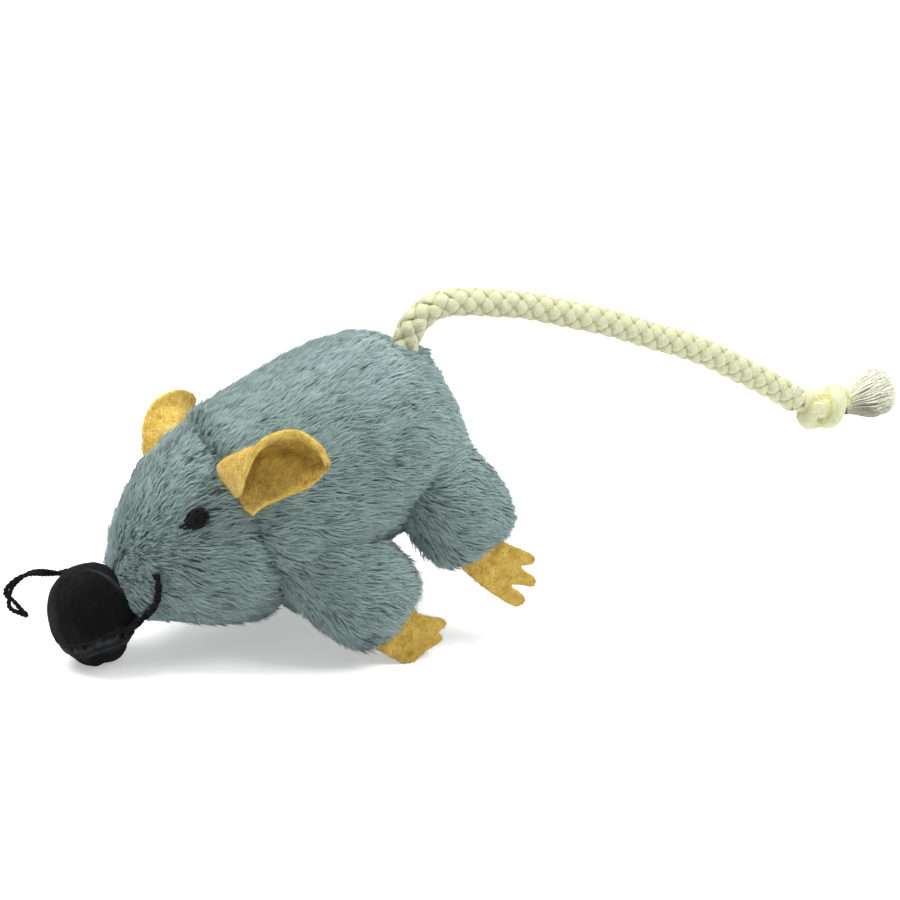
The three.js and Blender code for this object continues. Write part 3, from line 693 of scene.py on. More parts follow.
def make_floor():
    """A wide pale floor, lifted a little for the camera so that it reads white with a soft shadow."""
    cloth = Cloth("floor", 1, specular=0)
    cloth.shader.inputs["Base Color"].default_value = FLOOR_COLOUR
    cloth.shader.inputs["Emission Color"].default_value = WHITE
    lift = cloth.nodes.new("ShaderNodeMath")
    lift.operation = "MULTIPLY"
    lift.inputs[1].default_value = FLOOR_LIFT
    cloth.links.new(cloth.node("LightPath").outputs["Is Camera Ray"], lift.inputs[0])
    cloth.links.new(lift.outputs["Value"], cloth.shader.inputs["Emission Strength"])
    mesh = bpy.data.meshes.new("floor")
    corners = [(x * FLOOR_HALF_SIZE, y * FLOOR_HALF_SIZE, 0) for x, y in ((-1, -1), (1, -1), (1, 1), (-1, 1))]
    mesh.from_pydata(corners, [], [(0, 1, 2, 3)])
    mesh.materials.append(cloth.material)
    placed("floor", mesh)


# Materials
def colour(red, green, blue):
    """A screen colour from 0 to 255 as the linear colour that Blender takes."""
    share = np.array([red, green, blue]) / 255
    linear = np.where(share <= 0.04045, share / 12.92, ((share + 0.055) / 1.055) ** 2.4)
    return (*linear.tolist(), 1.0)


class Cloth:
    """A fabric material built node by node."""

    def __init__(self, name, roughness, sheen=0.0, specular=0.1):
        self.material = bpy.data.materials.new(name)
        self.material.use_nodes = True
        self.nodes = self.material.node_tree.nodes
        self.links = self.material.node_tree.links
        self.shader = self.nodes["Principled BSDF"]
        self.shader.inputs["Roughness"].default_value = roughness
        self.shader.inputs["Specular IOR Level"].default_value = specular
        self.shader.inputs["Sheen Weight"].default_value = sheen
        self.shader.inputs["Sheen Roughness"].default_value = 0.5
        self.place = self.node("TexCoord").outputs["Object"]

    def give(self, socket, value):
        """An input linked to another node's output, or set to a value."""
        if isinstance(value, bpy.types.NodeSocket):
            self.links.new(value, socket)
        else:
            socket.default_value = value

    def node(self, kind, **inputs):
        """A node of that kind with its inputs linked or set."""
        node = self.nodes.new("ShaderNode" + kind)
        for word, value in inputs.items():
            self.give(node.inputs[word], value)
        return node

    def attribute(self, word):
        """A number that the mesh carries at each point."""
        node = self.node("Attribute")
        node.attribute_name = word
        return node.outputs["Fac"]

    def scaled(self, source, scale):
        """Coordinates stretched along their three ways."""
        return self.node("Mapping", Vector=source, Scale=scale).outputs["Vector"]

    def uv(self):
        """The piece's own coordinates, millimetres along and turns round."""
        node = self.node("UVMap")
        node.uv_map = "cloth"
        return node.outputs["UV"]

    def noise(self, source, scale, detail=2.0, roughness=0.6):
        """Soft random patches."""
        node = self.node("TexNoise", Vector=source, Scale=scale, Detail=detail, Roughness=roughness)
        return node.outputs["Fac"]

    def ramp(self, source, stops):
        """Screen colours along a number."""
        node = self.node("ValToRGB", Fac=source)
        elements = node.color_ramp.elements
        while len(elements) < len(stops):
            elements.new(0.5)
        for element, (place, shade) in zip(elements, stops):
            element.position = place
            element.color = colour(*shade)
        return node.outputs["Color"]

    def mixed(self, mode, share, first, second):
        """Two colours, the second laid on the first."""
        node = self.nodes.new("ShaderNodeMix")
        node.data_type = "RGBA"
        node.blend_type = mode
        self.give(node.inputs["Factor"], share)
        sockets = {item.name: item for item in node.inputs if item.type == "RGBA"}
        self.give(sockets["A"], first)
        self.give(sockets["B"], second)
        return [item for item in node.outputs if item.type == "RGBA"][0]

    def finished(self, result, relief=None, distance=0.0002):
        """The material with its colour and small relief, the relief's height in metres."""
        self.give(self.shader.inputs["Base Color"], result)
        if relief:
            bump = self.node("Bump", Distance=distance, Height=relief)
            self.give(self.shader.inputs["Normal"], bump.outputs["Normal"])
        return self.material


def pile_material():
    """Combed plush: each hair dark at its root as painted shade deep in the pile and pale at its tip, toned
    hair by hair.
    """
    cloth = Cloth("plush_pile", 0.8, sheen=0.1, specular=0.15)
    # Painted shade: the colour along each hair darkens towards its root, where the pile shades itself
    along = cloth.ramp(cloth.attribute("reach"), [
        (0.0, (128, 148, 147)), (0.5, (153, 175, 173)), (1.0, (177, 198, 196)),
    ])
    tone = cloth.ramp(cloth.attribute("tone"), [
        (0.0, (210, 214, 214)), (0.5, (232, 235, 234)), (1.0, (255, 255, 255)),
    ])
    return cloth.finished(cloth.mixed("MULTIPLY", 1.0, along, tone))


def skin_material():
    """The woven ground under the pile: its own grey-green, darkened like the hair roots as painted shade deep
    in the pile.
    """
    cloth = Cloth("plush_ground", 0.95)
    weave = cloth.noise(cloth.place, 2500.0)
    return cloth.finished(cloth.ramp(weave, [(0.3, (112, 128, 127)), (0.7, (130, 147, 146))]))


def felt_material():
    """Mottled wool felt: mustard with darker and paler patches and matted fibres, with painted shade where
    the shade value that the mesh carries is low and painted highlight where it is high."""
    cloth = Cloth("mustard_felt", 0.95, sheen=0.2)
    patches = cloth.ramp(cloth.noise(cloth.place, 420.0, 4.0, 0.65), [
        (0.3, (196, 165, 74)), (0.48, (226, 199, 102)), (0.62, (236, 213, 122)), (0.78, (244, 226, 152)),
    ])
    fibres = cloth.noise(cloth.scaled(cloth.place, (1.0, 0.4, 0.7)), 4200.0, 3.0, 0.7)
    flecks = cloth.ramp(fibres, [(0.35, (194, 180, 142)), (0.6, (255, 255, 255))])
    # Painted shade and highlight: a low shade value darkens the felt, a high one lightens it
    shade = cloth.ramp(cloth.attribute("shade"), [
        (0.0, (200, 178, 128)), (0.5, (244, 230, 218)), (1.0, (255, 255, 244)),
    ])
    flecked = cloth.mixed("MULTIPLY", 0.7, patches, flecks)
    return cloth.finished(cloth.mixed("MULTIPLY", 1.0, flecked, shade), fibres)


def velvet_material():
    """Black velvet with a grey painted sheen where its pile lies over."""
    cloth = Cloth("black_velvet", 0.9, sheen=0.04, specular=0.08)
    pile = cloth.noise(cloth.place, 5200.0)
    # Painted sheen: soft grey patches, and grey mixed in where the mesh's painted sheen value is high
    sheen_bloom = cloth.noise(cloth.place, 170.0, 3.0)
    base = cloth.ramp(sheen_bloom, [(0.45, (12, 12, 14)), (0.65, (17, 18, 20)), (0.85, (32, 33, 36))])
    grain = cloth.ramp(pile, [(0.3, (180, 180, 180)), (0.7, (255, 255, 255))])
    base = cloth.mixed("MIX", cloth.attribute("painted_sheen"), base, colour(66, 68, 72))
    return cloth.finished(cloth.mixed("MULTIPLY", 0.7, base, grain), pile)


def yarn_material():
    """Black spun yarn with fibres that run along each ply."""
    cloth = Cloth("black_yarn", 0.85, sheen=0.05, specular=0.12)
    fibres = cloth.noise(cloth.scaled(cloth.uv(), (0.5, 9.0, 1.0)), 3.0, 3.0, 0.7)
    base = cloth.ramp(fibres, [(0.35, (12, 12, 14)), (0.6, (24, 25, 28)), (0.8, (48, 49, 54))])
    return cloth.finished(base, fibres)


def rope_material():
    """Cream cotton: yellow in the crevices, partly its own tint and partly painted shade, pale on the crowns
    of the strands, and palest where its fibres are loose, a painted light against their own shadow."""
    cloth = Cloth("cream_rope", 0.9, sheen=0.15)
    fibres = cloth.noise(cloth.scaled(cloth.uv(), (0.35, 12.0, 1.0)), 2.2, 3.0, 0.7)
    # Painted shade and light: a low depth darkens and yellows the cotton, a high one paints it paler
    crown = cloth.ramp(cloth.attribute("depth"), [
        (0.0, (212, 204, 92)), (0.3, (218, 215, 128)), (0.58, (212, 214, 160)),
        (CROWN_DEPTH, (218, 221, 188)), (1.0, (252, 255, 238)),
    ])
    threads = cloth.ramp(fibres, [(0.3, (224, 222, 200)), (0.6, (255, 255, 255))])
    return cloth.finished(cloth.mixed("MULTIPLY", 0.75, crown, threads), fibres, 0.0003)


# Stuffed forms and their pile
def trunk_outline(form, grow, shares):
    """Half width, top and bottom of the body or head, made larger on all sides by grow."""
    values = spread(form["rows"], shares)
    top = form["low"] + values[:, 1] * form["height"] + grow
    bottom = form["low"] + values[:, 2] * form["height"] - grow
    return values[:, 0] * form["half_width"] + grow, top, bottom


def trunk_grid(form, grow, shares):
    """Rings of the body or head: an ellipse at each share, the end made longer by grow."""
    wide, top, bottom = trunk_outline(form, grow, shares)
    angle = -circle(TRUNK_SIDES)
    x = form["start"] + shares * form["length"]
    x = x + np.sign(form["length"]) * grow * rising(shares, END_SHARE, 1 - END_SHARE)
    return np.stack([
        np.broadcast_to(x[:, None], (len(x), TRUNK_SIDES)),
        np.outer(wide, np.sin(angle)),
        ((top + bottom) / 2)[:, None] + np.outer((top - bottom) / 2, np.cos(angle)),
    ], axis=-1)


def in_trunk(points, form, grow):
    """Which points lie in the body or head."""
    share = (points[:, 0] - form["start"]) / form["length"]
    wide, top, bottom = trunk_outline(form, grow, np.clip(share, 0, 1))
    round_share = (points[:, 1] / wide) ** 2 + ((2 * points[:, 2] - top - bottom) / (top - bottom)) ** 2
    return (share > 0) & (share < 1) & (round_share < 1)


def leg_frame(leg, side):
    """Hip, length and the ways along, across and through a leg."""
    mirror = np.array([1, side, 1])
    hip, end = np.array(leg["hip"]) * mirror, np.array(leg["end"]) * mirror
    length = np.linalg.norm(end - hip)
    along = (end - hip) / length
    across = unit(np.array([1.0, 0, 0]) - along[0] * along)
    return hip, length, along, across, np.cross(along, across)


def leg_grid(leg, side, grow, shares):
    """Rings of a leg: ovals square to the line from hip to end, sized by the table."""
    hip, length, along, across, through = leg_frame(leg, side)
    values = spread(LEG_ROWS, shares)
    angle = circle(LEG_SIDES)
    wide = np.outer(values[:, 0] * leg["half_width"] + grow, np.cos(angle))
    thick = np.outer(values[:, 1] * leg["half_thickness"] + grow, np.sin(angle))
    return (hip + (shares * (length + grow))[:, None, None] * along
            + wide[..., None] * across + thick[..., None] * through)


def in_leg(points, leg, side, grow):
    """Which points lie in a leg."""
    hip, length, along, across, through = leg_frame(leg, side)
    share = (points - hip) @ along / length
    values = spread(LEG_ROWS, np.clip(share, 0, 1))
    wide = (points - hip) @ across / (values[:, 0] * leg["half_width"] + grow)
    thick = (points - hip) @ through / (values[:, 1] * leg["half_thickness"] + grow)
    return (share > 0) & (share < 1) & (wide**2 + thick**2 < 1)


def scattered(grid, per_area):
    """Random places spread evenly over a grid of rings, with the way out at each: a cell is drawn
    in proportion to its area, then a place in it."""
    a, b = grid[:-1], grid[1:]
    next_a, next_b = np.roll(a, -1, axis=1), np.roll(b, -1, axis=1)
    cross = np.cross(next_b - a, b - next_a)
    area = np.linalg.norm(cross, axis=-1) / 2
    count = int(area.sum() * per_area)
    cells = rng.choice(area.size, count, p=(area / area.sum()).ravel())
    u, v = rng.random((2, count, 1))
    corner = [item.reshape(-1, 3)[cells] for item in (a, next_a, b, next_b)]
    points = (1 - u) * ((1 - v) * corner[0] + v * corner[1]) + u * ((1 - v) * corner[2] + v * corner[3])
    outward = unit(cross.reshape(-1, 3)[cells])
    middle = np.broadcast_to(a.mean(axis=1, keepdims=True), a.shape).reshape(-1, 3)[cells]
    return points, outward * np.sign(np.einsum("ij,ij->i", outward, points - middle).sum())


def combed(points, outward):
    """The way the pile lies at each place: to the tail, and downwards on the flanks, with slow
    swirls."""
    down = np.clip((FLOW_TOP - points[:, 2]) / FLOW_FALL, 0, 1) * FLOW_DOWN + FLOW_DROP
    way = square_to(np.stack([np.ones(len(points)), np.zeros(len(points)), -down], axis=1), outward)
    return round_about(SWIRL * waves(points, SWIRL_WAVES), way, np.cross(outward, way))


def pile_lengths(places, short_places, tucked_places):
    """How long the pile is: shorter on the face and at the neck seam, long over the roots of the
    ears, and bare or short round the short places, each a place, bare radius and further reach."""
    from_neck = rising(np.abs(places[:, 0] + NECK_FORWARD + SEAM_GAP / 2), 0, NECK_REACH)
    for seat in tucked_places:
        near = 1 - rising(np.linalg.norm(places - seat, axis=1), *TUCK_FADE)
        from_neck = np.maximum(from_neck, TUCK_SHARE * near)
    length = PILE_LENGTH * (NECK_SHARE + (1 - NECK_SHARE) * from_neck)
    length = length * (FACE_SHARE + (1 - FACE_SHARE) * rising(places[:, 0], *FACE_FADE))
    for place, bare, reach in short_places:
        length = length * rising(np.linalg.norm(places - place, axis=1), bare, reach)
    return length


def add_pile(name, grid, others, short_places, tucked_places, material):
    """Pile on a form, where no other form covers it. Clumps are scattered over it, and the hairs
    of each start round its middle, rise, bend over along the combed way and lean together at
    their tips."""
    middle, outward = scattered(grid, CLUMPS_PER_MM2)
    free = np.ones(len(middle), bool)
    for inside in others:
        free &= ~inside(middle)
    middle, outward = middle[free], outward[free]
    way = combed(middle, outward)
    length = pile_lengths(middle, short_places, tucked_places)
    rooted = length > SHORTEST_PILE
    middle, outward, way, length = (item[rooted] for item in (middle, outward, way, length))
    across = np.cross(outward, way)
    clumps, count = len(middle), HAIRS_IN_CLUMP
    length = length * (1 + waves(middle, LENGTH_WAVES) + LENGTH_CHANGES[0] * rng.normal(size=clumps))
    tone = TONE_MIDDLE + waves(middle, TONE_WAVES) + TONE_CHANGES[0] * rng.normal(size=clumps)
    by_tail = 1 - rising(np.linalg.norm(middle - in_middle(TAIL_ROUTE[0]), axis=1), *TAIL_FUR_FADE)
    lift = LIFT * (1 + LIFT_CHANGES[0] * rng.normal(size=clumps)) + TAIL_FUR_LIFT * by_tail
    length = length * (1 + TAIL_FUR_SHARE * by_tail)

    spot = rng.normal(size=(clumps, count, 2)) * CLUMP_SPREAD
    lift = lift[:, None] + LIFT_CHANGES[1] * rng.normal(size=(clumps, count))
    length = length[:, None] * (1 + LENGTH_CHANGES[1] * rng.normal(size=(clumps, count)))
    tone = (tone[:, None] + TONE_CHANGES[1] * rng.normal(size=(clumps, count))).reshape(-1)
    turn = TURN_CHANGE * rng.normal(size=(clumps, count))
    root = middle[:, None] + spot[..., :1] * across[:, None] + spot[..., 1:] * way[:, None]
    lean = round_about(turn, way[:, None], across[:, None])
    step = length[..., None] / 2
    half = root + step * round_about(lift, lean, outward[:, None])
    tip = half + step * round_about(lift * TIP_LIFT_SHARE, lean, outward[:, None])
    tip = tip + CLUMP_GATHER * (tip.mean(axis=1, keepdims=True) - tip)
    half = half + HALF_GATHER * (half.mean(axis=1, keepdims=True) - half)
    paths = np.stack([root, half, tip], axis=2).reshape(-1, 3, 3)
    facing = np.repeat(outward, count, axis=0)
    widths = HAIR_HALF_WIDTH * (1 + WIDTH_CHANGE * rng.normal(size=(len(paths), 1))) * HAIR_TAPER
    widths = np.clip(widths, THINNEST_SHARE * HAIR_HALF_WIDTH * HAIR_TAPER, None)
    for number, start in enumerate(range(0, len(paths), HAIRS_IN_PIECE)):
        some = slice(start, start + HAIRS_IN_PIECE)
        points, faces, normals, reach, size = hairs(paths[some], widths[some], facing[some], HAIR_OWN_SHARE)
        # The reach along each hair carries the painted shade at its root
        part = points, faces, {"reach": reach, "tone": np.repeat(np.clip(tone[some], 0, 1), size)}, None
        make_piece(f"pile_{name}_{number + 1}", None, part, material, "plush", normals)


def make_forms():
    """Skins in place of the stuffed solids, each with its pile."""
    ground, pile = skin_material(), pile_material()
    shares = np.linspace(0, 1, FORM_ROWS)
    drop = -SKIN_DEPTH - COVERED_DEPTH
    in_body = lambda points: in_trunk(points, BODY, drop)
    in_head = lambda points: in_trunk(points, HEAD, drop)
    in_nose = lambda points: np.linalg.norm(points - nose_middle(), axis=1) < NOSE_RADIUS + NOSE_CLEAR
    in_legs = {
        (word, side): (lambda points, word=word, side=side: in_leg(points, LEGS[word], side, drop))
        for word in LEGS for side in SIDES.values()
    }
    body_shares = np.append(shares, BODY_END_ROW[0])
    closed_body = dict(BODY, rows=np.vstack([BODY["rows"], BODY_END_ROW]))
    body_grow = -SKIN_DEPTH - RUMP_SINK * rising(body_shares, RUMP_SHARE, 1 - RUMP_SHARE)
    head_grow = -SKIN_DEPTH + SNOUT_FILL * rising(shares, SNOUT_SHARE, 1 - SNOUT_SHARE)
    body_grid = trunk_grid(closed_body, body_grow, body_shares)
    from_shoulder = np.linalg.norm(body_grid - SHOULDER_PLACE, axis=-1, keepdims=True)
    body_grid = body_grid + SHOULDER_RISE * hill(from_shoulder, 0, SHOULDER_REACH) * SHOULDER_WAY
    forms = [
        ("body", body_grid, [in_head, *in_legs.values()]),
        ("head", trunk_grid(HEAD, head_grow, shares), [in_body, in_nose, *in_legs.values()]),
    ]
    for word, leg in LEGS.items():
        for side_word, side in SIDES.items():
            others = [in_body, in_head] + ([in_legs["front", side]] if word == "hind" else [])
            grid = leg_grid(leg, side, -SKIN_DEPTH, np.append(shares, LEG_END_SHARE))
            forms.append((f"{word}_leg_{side_word}", grid, others))

    short_places = [(nose_middle(), NOSE_RADIUS + NOSE_CLEAR, NOSE_PILE_REACH)]
    for side in SIDES.values():
        short_places.append((head_surface(EYE_SHARE, side * EYE_ANGLE)[0], *EYE_PILE_FADE))
    stops = np.linspace(0, len(MOUTH_PLACES) - 1, MOUTH_PILE_PLACES)
    columns = [np.interp(stops, range(len(MOUTH_PLACES)), column) for column in zip(*MOUTH_PLACES)]
    for share, degrees in zip(*columns):
        short_places.append((head_surface(share, -math.radians(degrees))[0], *MOUTH_PILE_FADE))
    tucked_places = [ear_seat(word)[0] for word in EAR_POSES]
    for name, grid, others in forms:
        skin = make_piece(f"skin_{name}", name, (*closed_tube(grid), {}, None), ground, "plush")
        add_pile(name, grid, others, short_places, tucked_places, pile)


# Head places
def head_surface(share, angle):
    """A point on the head and the way out there; angle 0 is the top, positive to the right."""
    def at(some_share, some_angle):
        wide, top, bottom = (item[0] for item in trunk_outline(HEAD, 0, np.array([some_share])))
        high = (top + bottom) / 2 + (top - bottom) / 2 * math.cos(some_angle)
        return np.array([HEAD["start"] + some_share * HEAD["length"], wide * math.sin(some_angle), high])
    step = 0.01
    point = at(share, angle)
    outward = unit(np.cross(at(share, angle + step) - point, at(share + step, angle) - point))
    middle = np.array([point[0], 0, HEAD["low"] + HEAD["height"] / 2])
    return point, outward * np.sign(outward @ (point - middle))


# Nose
def nose_profile(count):
    """Radius and height of points on a smooth curve through the nose's outline."""
    points, _ = evenly(in_middle(NOSE_PROFILE * (NOSE_RADIUS, NOSE_HALF_HEIGHT)), count)
    return np.clip(points[:, 0], 0, None), points[:, 2]


def nose_centre():
    """Its middle over the floor when it stands on its flat."""
    radius, height = nose_profile(200)
    lowest = (radius * -math.sin(NOSE_TILT) + height * math.cos(NOSE_TILT)).min()
    return np.array([-NOSE_FORWARD, 0, -lowest - FLAT_DEPTH])


def nose_middle():
    """The nose's middle in the mouse's own frame."""
    return pitched(nose_centre(), -1)


def make_nose():
    """A ball of gathered velvet: a turned outline with soft gathers that deepen towards its
    underside, tilted, and pressed flat where it stands."""
    radius, height = (item[:, None] for item in nose_profile(NOSE_ROWS))
    angle = -circle(NOSE_SIDES)
    toward, rightward = np.cos(angle - NEAR_ANGLE), np.sin(angle - NEAR_ANGLE)
    below = FOLD_HEIGHT + FOLD_RISE * toward + FOLD_SLANT * rightward - height
    low = rising(below, *LOW_FADE)
    groove = hill(below, *GROOVE_HILL) * (GROOVE_LEAST + (1 - GROOVE_LEAST) * rising(toward, *GROOVE_FADE))
    crease = hill(angle + CREASE_SLANT * below, CREASE_ANGLE, CREASE_REACH) * rising(below, *CREASE_FADE)
    gathers = sum(depth * np.sin(times * angle + phase) for depth, times, phase in GATHERS)
    rim = radius * (1 + low * gathers - CREASE_SHARE * crease)
    rim = rim - GROOVE_DEPTH * groove + LOBE_RISE * hill(below, *LOBE_HILL)
    at_right, above_fold, below_top = (
        rising(value, *fade) for value, fade in zip((rightward, -below, -height), BULGE_FADES)
    )
    rim = rim + NOSE_BULGE * at_right * above_fold * below_top
    rim = rim * (1 - NOSE_DRAW * at_right * rising(below, *DRAW_FADE))
    lift = height + low * GATHER_LIFT * np.sin(3 * angle + 1.0)
    c, s = math.cos(NOSE_TILT), math.sin(NOSE_TILT)
    x = rim * np.cos(angle)
    points = np.stack([x * c - lift * s, rim * np.sin(angle), x * s + lift * c], axis=-1) + nose_centre()
    out = unit(points - nose_centre())
    points = points + out * (waves(points, NOSE_DENTS) - NOSE_SINK)[..., None]
    points[..., 2] = np.maximum(points[..., 2], 0)
    # Painted sheen: pale bands below the fold and along the crease, and a painted highlight stripe near the
    # top
    first, second = (hill(below, *place) for place in PAINTED_SHEEN_HILLS)
    painted_sheen = first + 0.7 * crease + 0.8 * second * (rightward > -0.2)
    painted_sheen = painted_sheen * (0.6 + waves(points, [PAINTED_SHEEN_WAVE]))
    sheen_bloom = rising(height / NOSE_HALF_HEIGHT, *SHEEN_BLOOM_FADE)
    sheen_bloom = sheen_bloom * smooth_step(1 - np.abs(angle - SHEEN_BLOOM_ANGLE) / SHEEN_BLOOM_HALF_ANGLE)
    painted_sheen = np.clip(painted_sheen + SHEEN_BLOOM_SHARE * sheen_bloom, 0, 1)[1:-1].ravel()
    points, faces = closed_tube(pitched(points[1:-1], -1))
    part = points, faces, {"painted_sheen": np.append(painted_sheen, [0, 0])}, None
    make_piece("velvet_nose", "nose", part, velvet_material(), "plush")


# Yarn
def plied(path, radius, pitch, facing, slack=0.0, phase=0.0):
    """Plies twisted round a path: each circles the path once a pitch, further out where the slack
    opens them, and is made of two finer strands twisted round each other."""
    way, side, up = frames_along(path, facing)
    run = run_along(path)
    reach = np.broadcast_to(radius * YARN_PLY_REACH + slack, run.shape)[:, None]
    parts = []
    for ply in range(YARN_PLIES):
        round_way = round_about(2 * np.pi * (run / pitch + ply / YARN_PLIES) + phase, side, up)
        thick = radius * YARN_SINGLE_SHARE * (1 + YARN_SWELL[0] * np.sin(run * YARN_SWELL[1] + ply))
        for single in range(2):
            turn = 2 * np.pi * (run / YARN_SINGLE_PITCH + single / 2)
            aside = round_about(turn, round_way, np.cross(way, round_way))
            line = path + reach * round_way + radius * YARN_SINGLE_REACH * aside
            part = strand(line, thick, thick, YARN_SIDES, aside, turns=YARN_TURNS)
            parts += [part, fuzz(*part[:2], int(run[-1] * YARN_FUZZ), YARN_FUZZ_SIZE)]
    return parts


def make_eye(word, yarn):
    """A knot of black thread: a core, loops laid over it, and two short ends that leave forwards."""
    point, outward = head_surface(EYE_SHARE, SIDES[word] * EYE_ANGLE)
    forward = unit(np.array([-1.0, 0, 0]) + outward[0] * outward)
    point = point - EYE_BACK[word] * forward
    place = lambda local: point + local @ np.stack([forward, np.cross(outward, forward), outward])
    turn = circle(40)
    high = np.linspace(-0.92, 0.92, 9)[:, None]
    out = np.sqrt(1 - high**2)
    core = np.stack([out * np.cos(turn), out * np.sin(turn), high + 0 * turn], axis=-1)
    points, faces = closed_tube(place(core * EYE_CORE_SHARE * EYE_HALF))
    parts = [(points, faces, {}, np.zeros((len(points), 2)))]
    t = np.linspace(0, 2 * np.pi, 48)
    for loop in range(EYE_LOOPS):
        lean = 2 * np.pi * loop / EYE_LOOPS + 0.5 * rng.random()
        tip = math.radians(EYE_LOOP_TILTS[loop % len(EYE_LOOP_TILTS)]) + 0.1 * rng.random()
        pole = np.array([math.sin(tip) * math.cos(lean), math.sin(tip) * math.sin(lean), math.cos(tip)])
        first = unit(np.cross(pole, [0.3, 0.9, 0.1]))
        high = EYE_LOOP_HEIGHTS[loop % len(EYE_LOOP_HEIGHTS)]
        ring = math.sqrt(1 - high**2) * round_about(t, first, np.cross(pole, first)) + high * pole
        line = place(ring * EYE_HALF * EYE_LOOP_SHARE)
        parts.append(strand(line, THREAD_RADIUS, THREAD_RADIUS, YARN_SIDES, line - point, turns=THREAD_TURNS))
    for stops in EYE_ENDS:
        line, _ = evenly(place(np.array(stops)), 24)
        thick = np.linspace(*THREAD_END_RADII, 24)
        parts.append(strand(line, thick, thick, YARN_SIDES, outward, turns=THREAD_TURNS))
    make_piece(f"thread_eye_{word}", f"eye_{word}", join_parts(parts), yarn, "plush")


def make_mouth(yarn):
    """The smile: twisted yarn laid on the cheek down to a small knot beside the nose."""
    stops = []
    for share, degrees in MOUTH_PLACES:
        point, outward = head_surface(share, -math.radians(degrees))
        stops.append(point + outward * (YARN_RADIUS + SEAM_GAP - MOUTH_SINK))
    knot = nose_middle() + np.array(MOUTH_KNOT_STEP)
    path, _ = evenly(stops + [knot], 90)
    parts = plied(path, YARN_RADIUS, MOUTH_PITCH, (0.3, 1.0, 0.2))
    make_piece("yarn_smile", "mouth_yarn", join_parts(parts), yarn, "plush")

    t = np.linspace(0, 4 * np.pi, 70)
    coil = knot + np.stack([
        COIL_RADIUS * np.cos(t) + COIL_UNEVEN[0] * np.cos(COIL_UNEVEN[1] * t),
        COIL_HALF_LENGTH * np.linspace(-1, 1, len(t)) + COIL_SWAY[0] * np.sin(COIL_SWAY[1] * t),
        COIL_RADIUS * np.sin(t),
    ], 1)
    end, _ = evenly(knot + COIL_END, 30)
    parts = plied(coil, COIL_YARN_RADIUS, COIL_PITCH, (0.2, 1.0, 0.1))
    parts += plied(end, COIL_YARN_RADIUS, COIL_PITCH, (0.2, 0.3, 1.0))
    make_piece("yarn_knot", "mouth_knot", join_parts(parts), yarn, "plush")


def make_yarn_end(yarn):
    """The loose end of the nose's yarn: two plies that part where they have come untwisted, and
    turn down into a hook."""
    path, length = evenly(YARN_END_ROUTE, 200)
    run = np.linspace(0, 1, len(path))
    slack = sum(share * hill(run, *place) for share, *place in YARN_END_SLACKS)
    parts = plied(path, YARN_RADIUS, YARN_END_PITCH, (0, 1.0, 0), slack=slack, phase=YARN_END_PHASE)
    piece = make_piece("loose_yarn", "yarn_end", join_parts(parts), yarn, "plush")


# Rope tail
def braided(path, radius, facing):
    """Eight flat strands braided round a path: four turn one way and four the other, once a
    pitch, and each rises over and dips under the ones it crosses in turn. The radius is given
    at each point of the path."""
    way, side, up = frames_along(path, facing)
    turn = 2 * np.pi * run_along(path) / BRAID_PITCH
    scale = radius / ROPE_RADIUS
    rise = np.append(np.tile(np.sin(circle(STRAND_SIDES)), len(path)), [0, 0])
    parts = []
    for hand in (1, -1):
        wave = hand * np.cos(BRAID_STRANDS * turn)
        reach, wide, thick = (
            (middle + change * wave) * scale
            for middle, change in (STRAND_REACH, STRAND_HALF_WIDTH, STRAND_HALF_THICKNESS)
        )
        shown = np.append(np.repeat(wave, STRAND_SIDES), [0, 0])
        # Painted shade: strands that dip under others and faces that turn inwards get a lower depth, darker
        # and yellower
        depth = np.clip(MIDDLE_DEPTH + OVER_DEPTH * shown + RISE_DEPTH * rise, 0, CROWN_DEPTH)
        for k in range(BRAID_STRANDS):
            round_way = round_about(hand * turn + 2 * np.pi * k / BRAID_STRANDS, side, up)
            line = path + reach[:, None] * round_way
            points, faces, _, uv = strand(line, wide, thick, STRAND_SIDES, round_way)
            parts.append((points, faces, {"depth": depth}, uv))
    return parts


def with_fuzz(parts, count):
    """Cotton parts joined with fine loose fibres on each, pale as its crowns."""
    loose = [fuzz(*part[:2], count, ROPE_FUZZ_SIZE, depth=ROPE_FUZZ_DEPTH) for part in parts]
    return join_parts(parts + loose)


def bundle(path, radius, facing):
    """Loose cotton drawn together: a tube fluted where its threads lie side by side, the flutes
    turning slowly along it. Returns points, faces, the flutes' height at each point and uv."""
    way, side, up = frames_along(path, facing)
    run = run_along(path)[:, None]
    angle = circle(BUNDLE_SIDES)
    turned = angle - 2 * np.pi * run / BUNDLE_LAY
    flute = 0.012 * np.cos(9 * turned + 0.8) + 0.014 * np.cos(5 * turned + 0.1 * run)
    flute = flute + 0.006 * np.cos(17 * turned)
    out = round_about(angle, side[:, None], up[:, None])
    points, faces = closed_tube(path[:, None] + (radius * (1 + flute))[..., None] * out)
    uv = np.column_stack([np.repeat(run, BUNDLE_SIDES), (turned / (2 * np.pi)).ravel()])
    return points, faces, np.append(flute, [0, 0]), np.vstack([uv, [[0, 0.5], [run[-1, 0], 0.5]]])


def tilted(angle):
    """The ways along, up and to the mouse's left of what lies tilted in the middle plane."""
    c, s = math.cos(angle), math.sin(angle)
    return np.array([[c, 0, s], [-s, 0, c], [0, -1.0, 0]])


def knot_point(shares):
    """A place in the knot from shares of its length along, up and out to the mouse's left."""
    return in_middle(KNOT_MIDDLE) + np.asarray(shares) * KNOT_LENGTH @ tilted(KNOT_TILT)


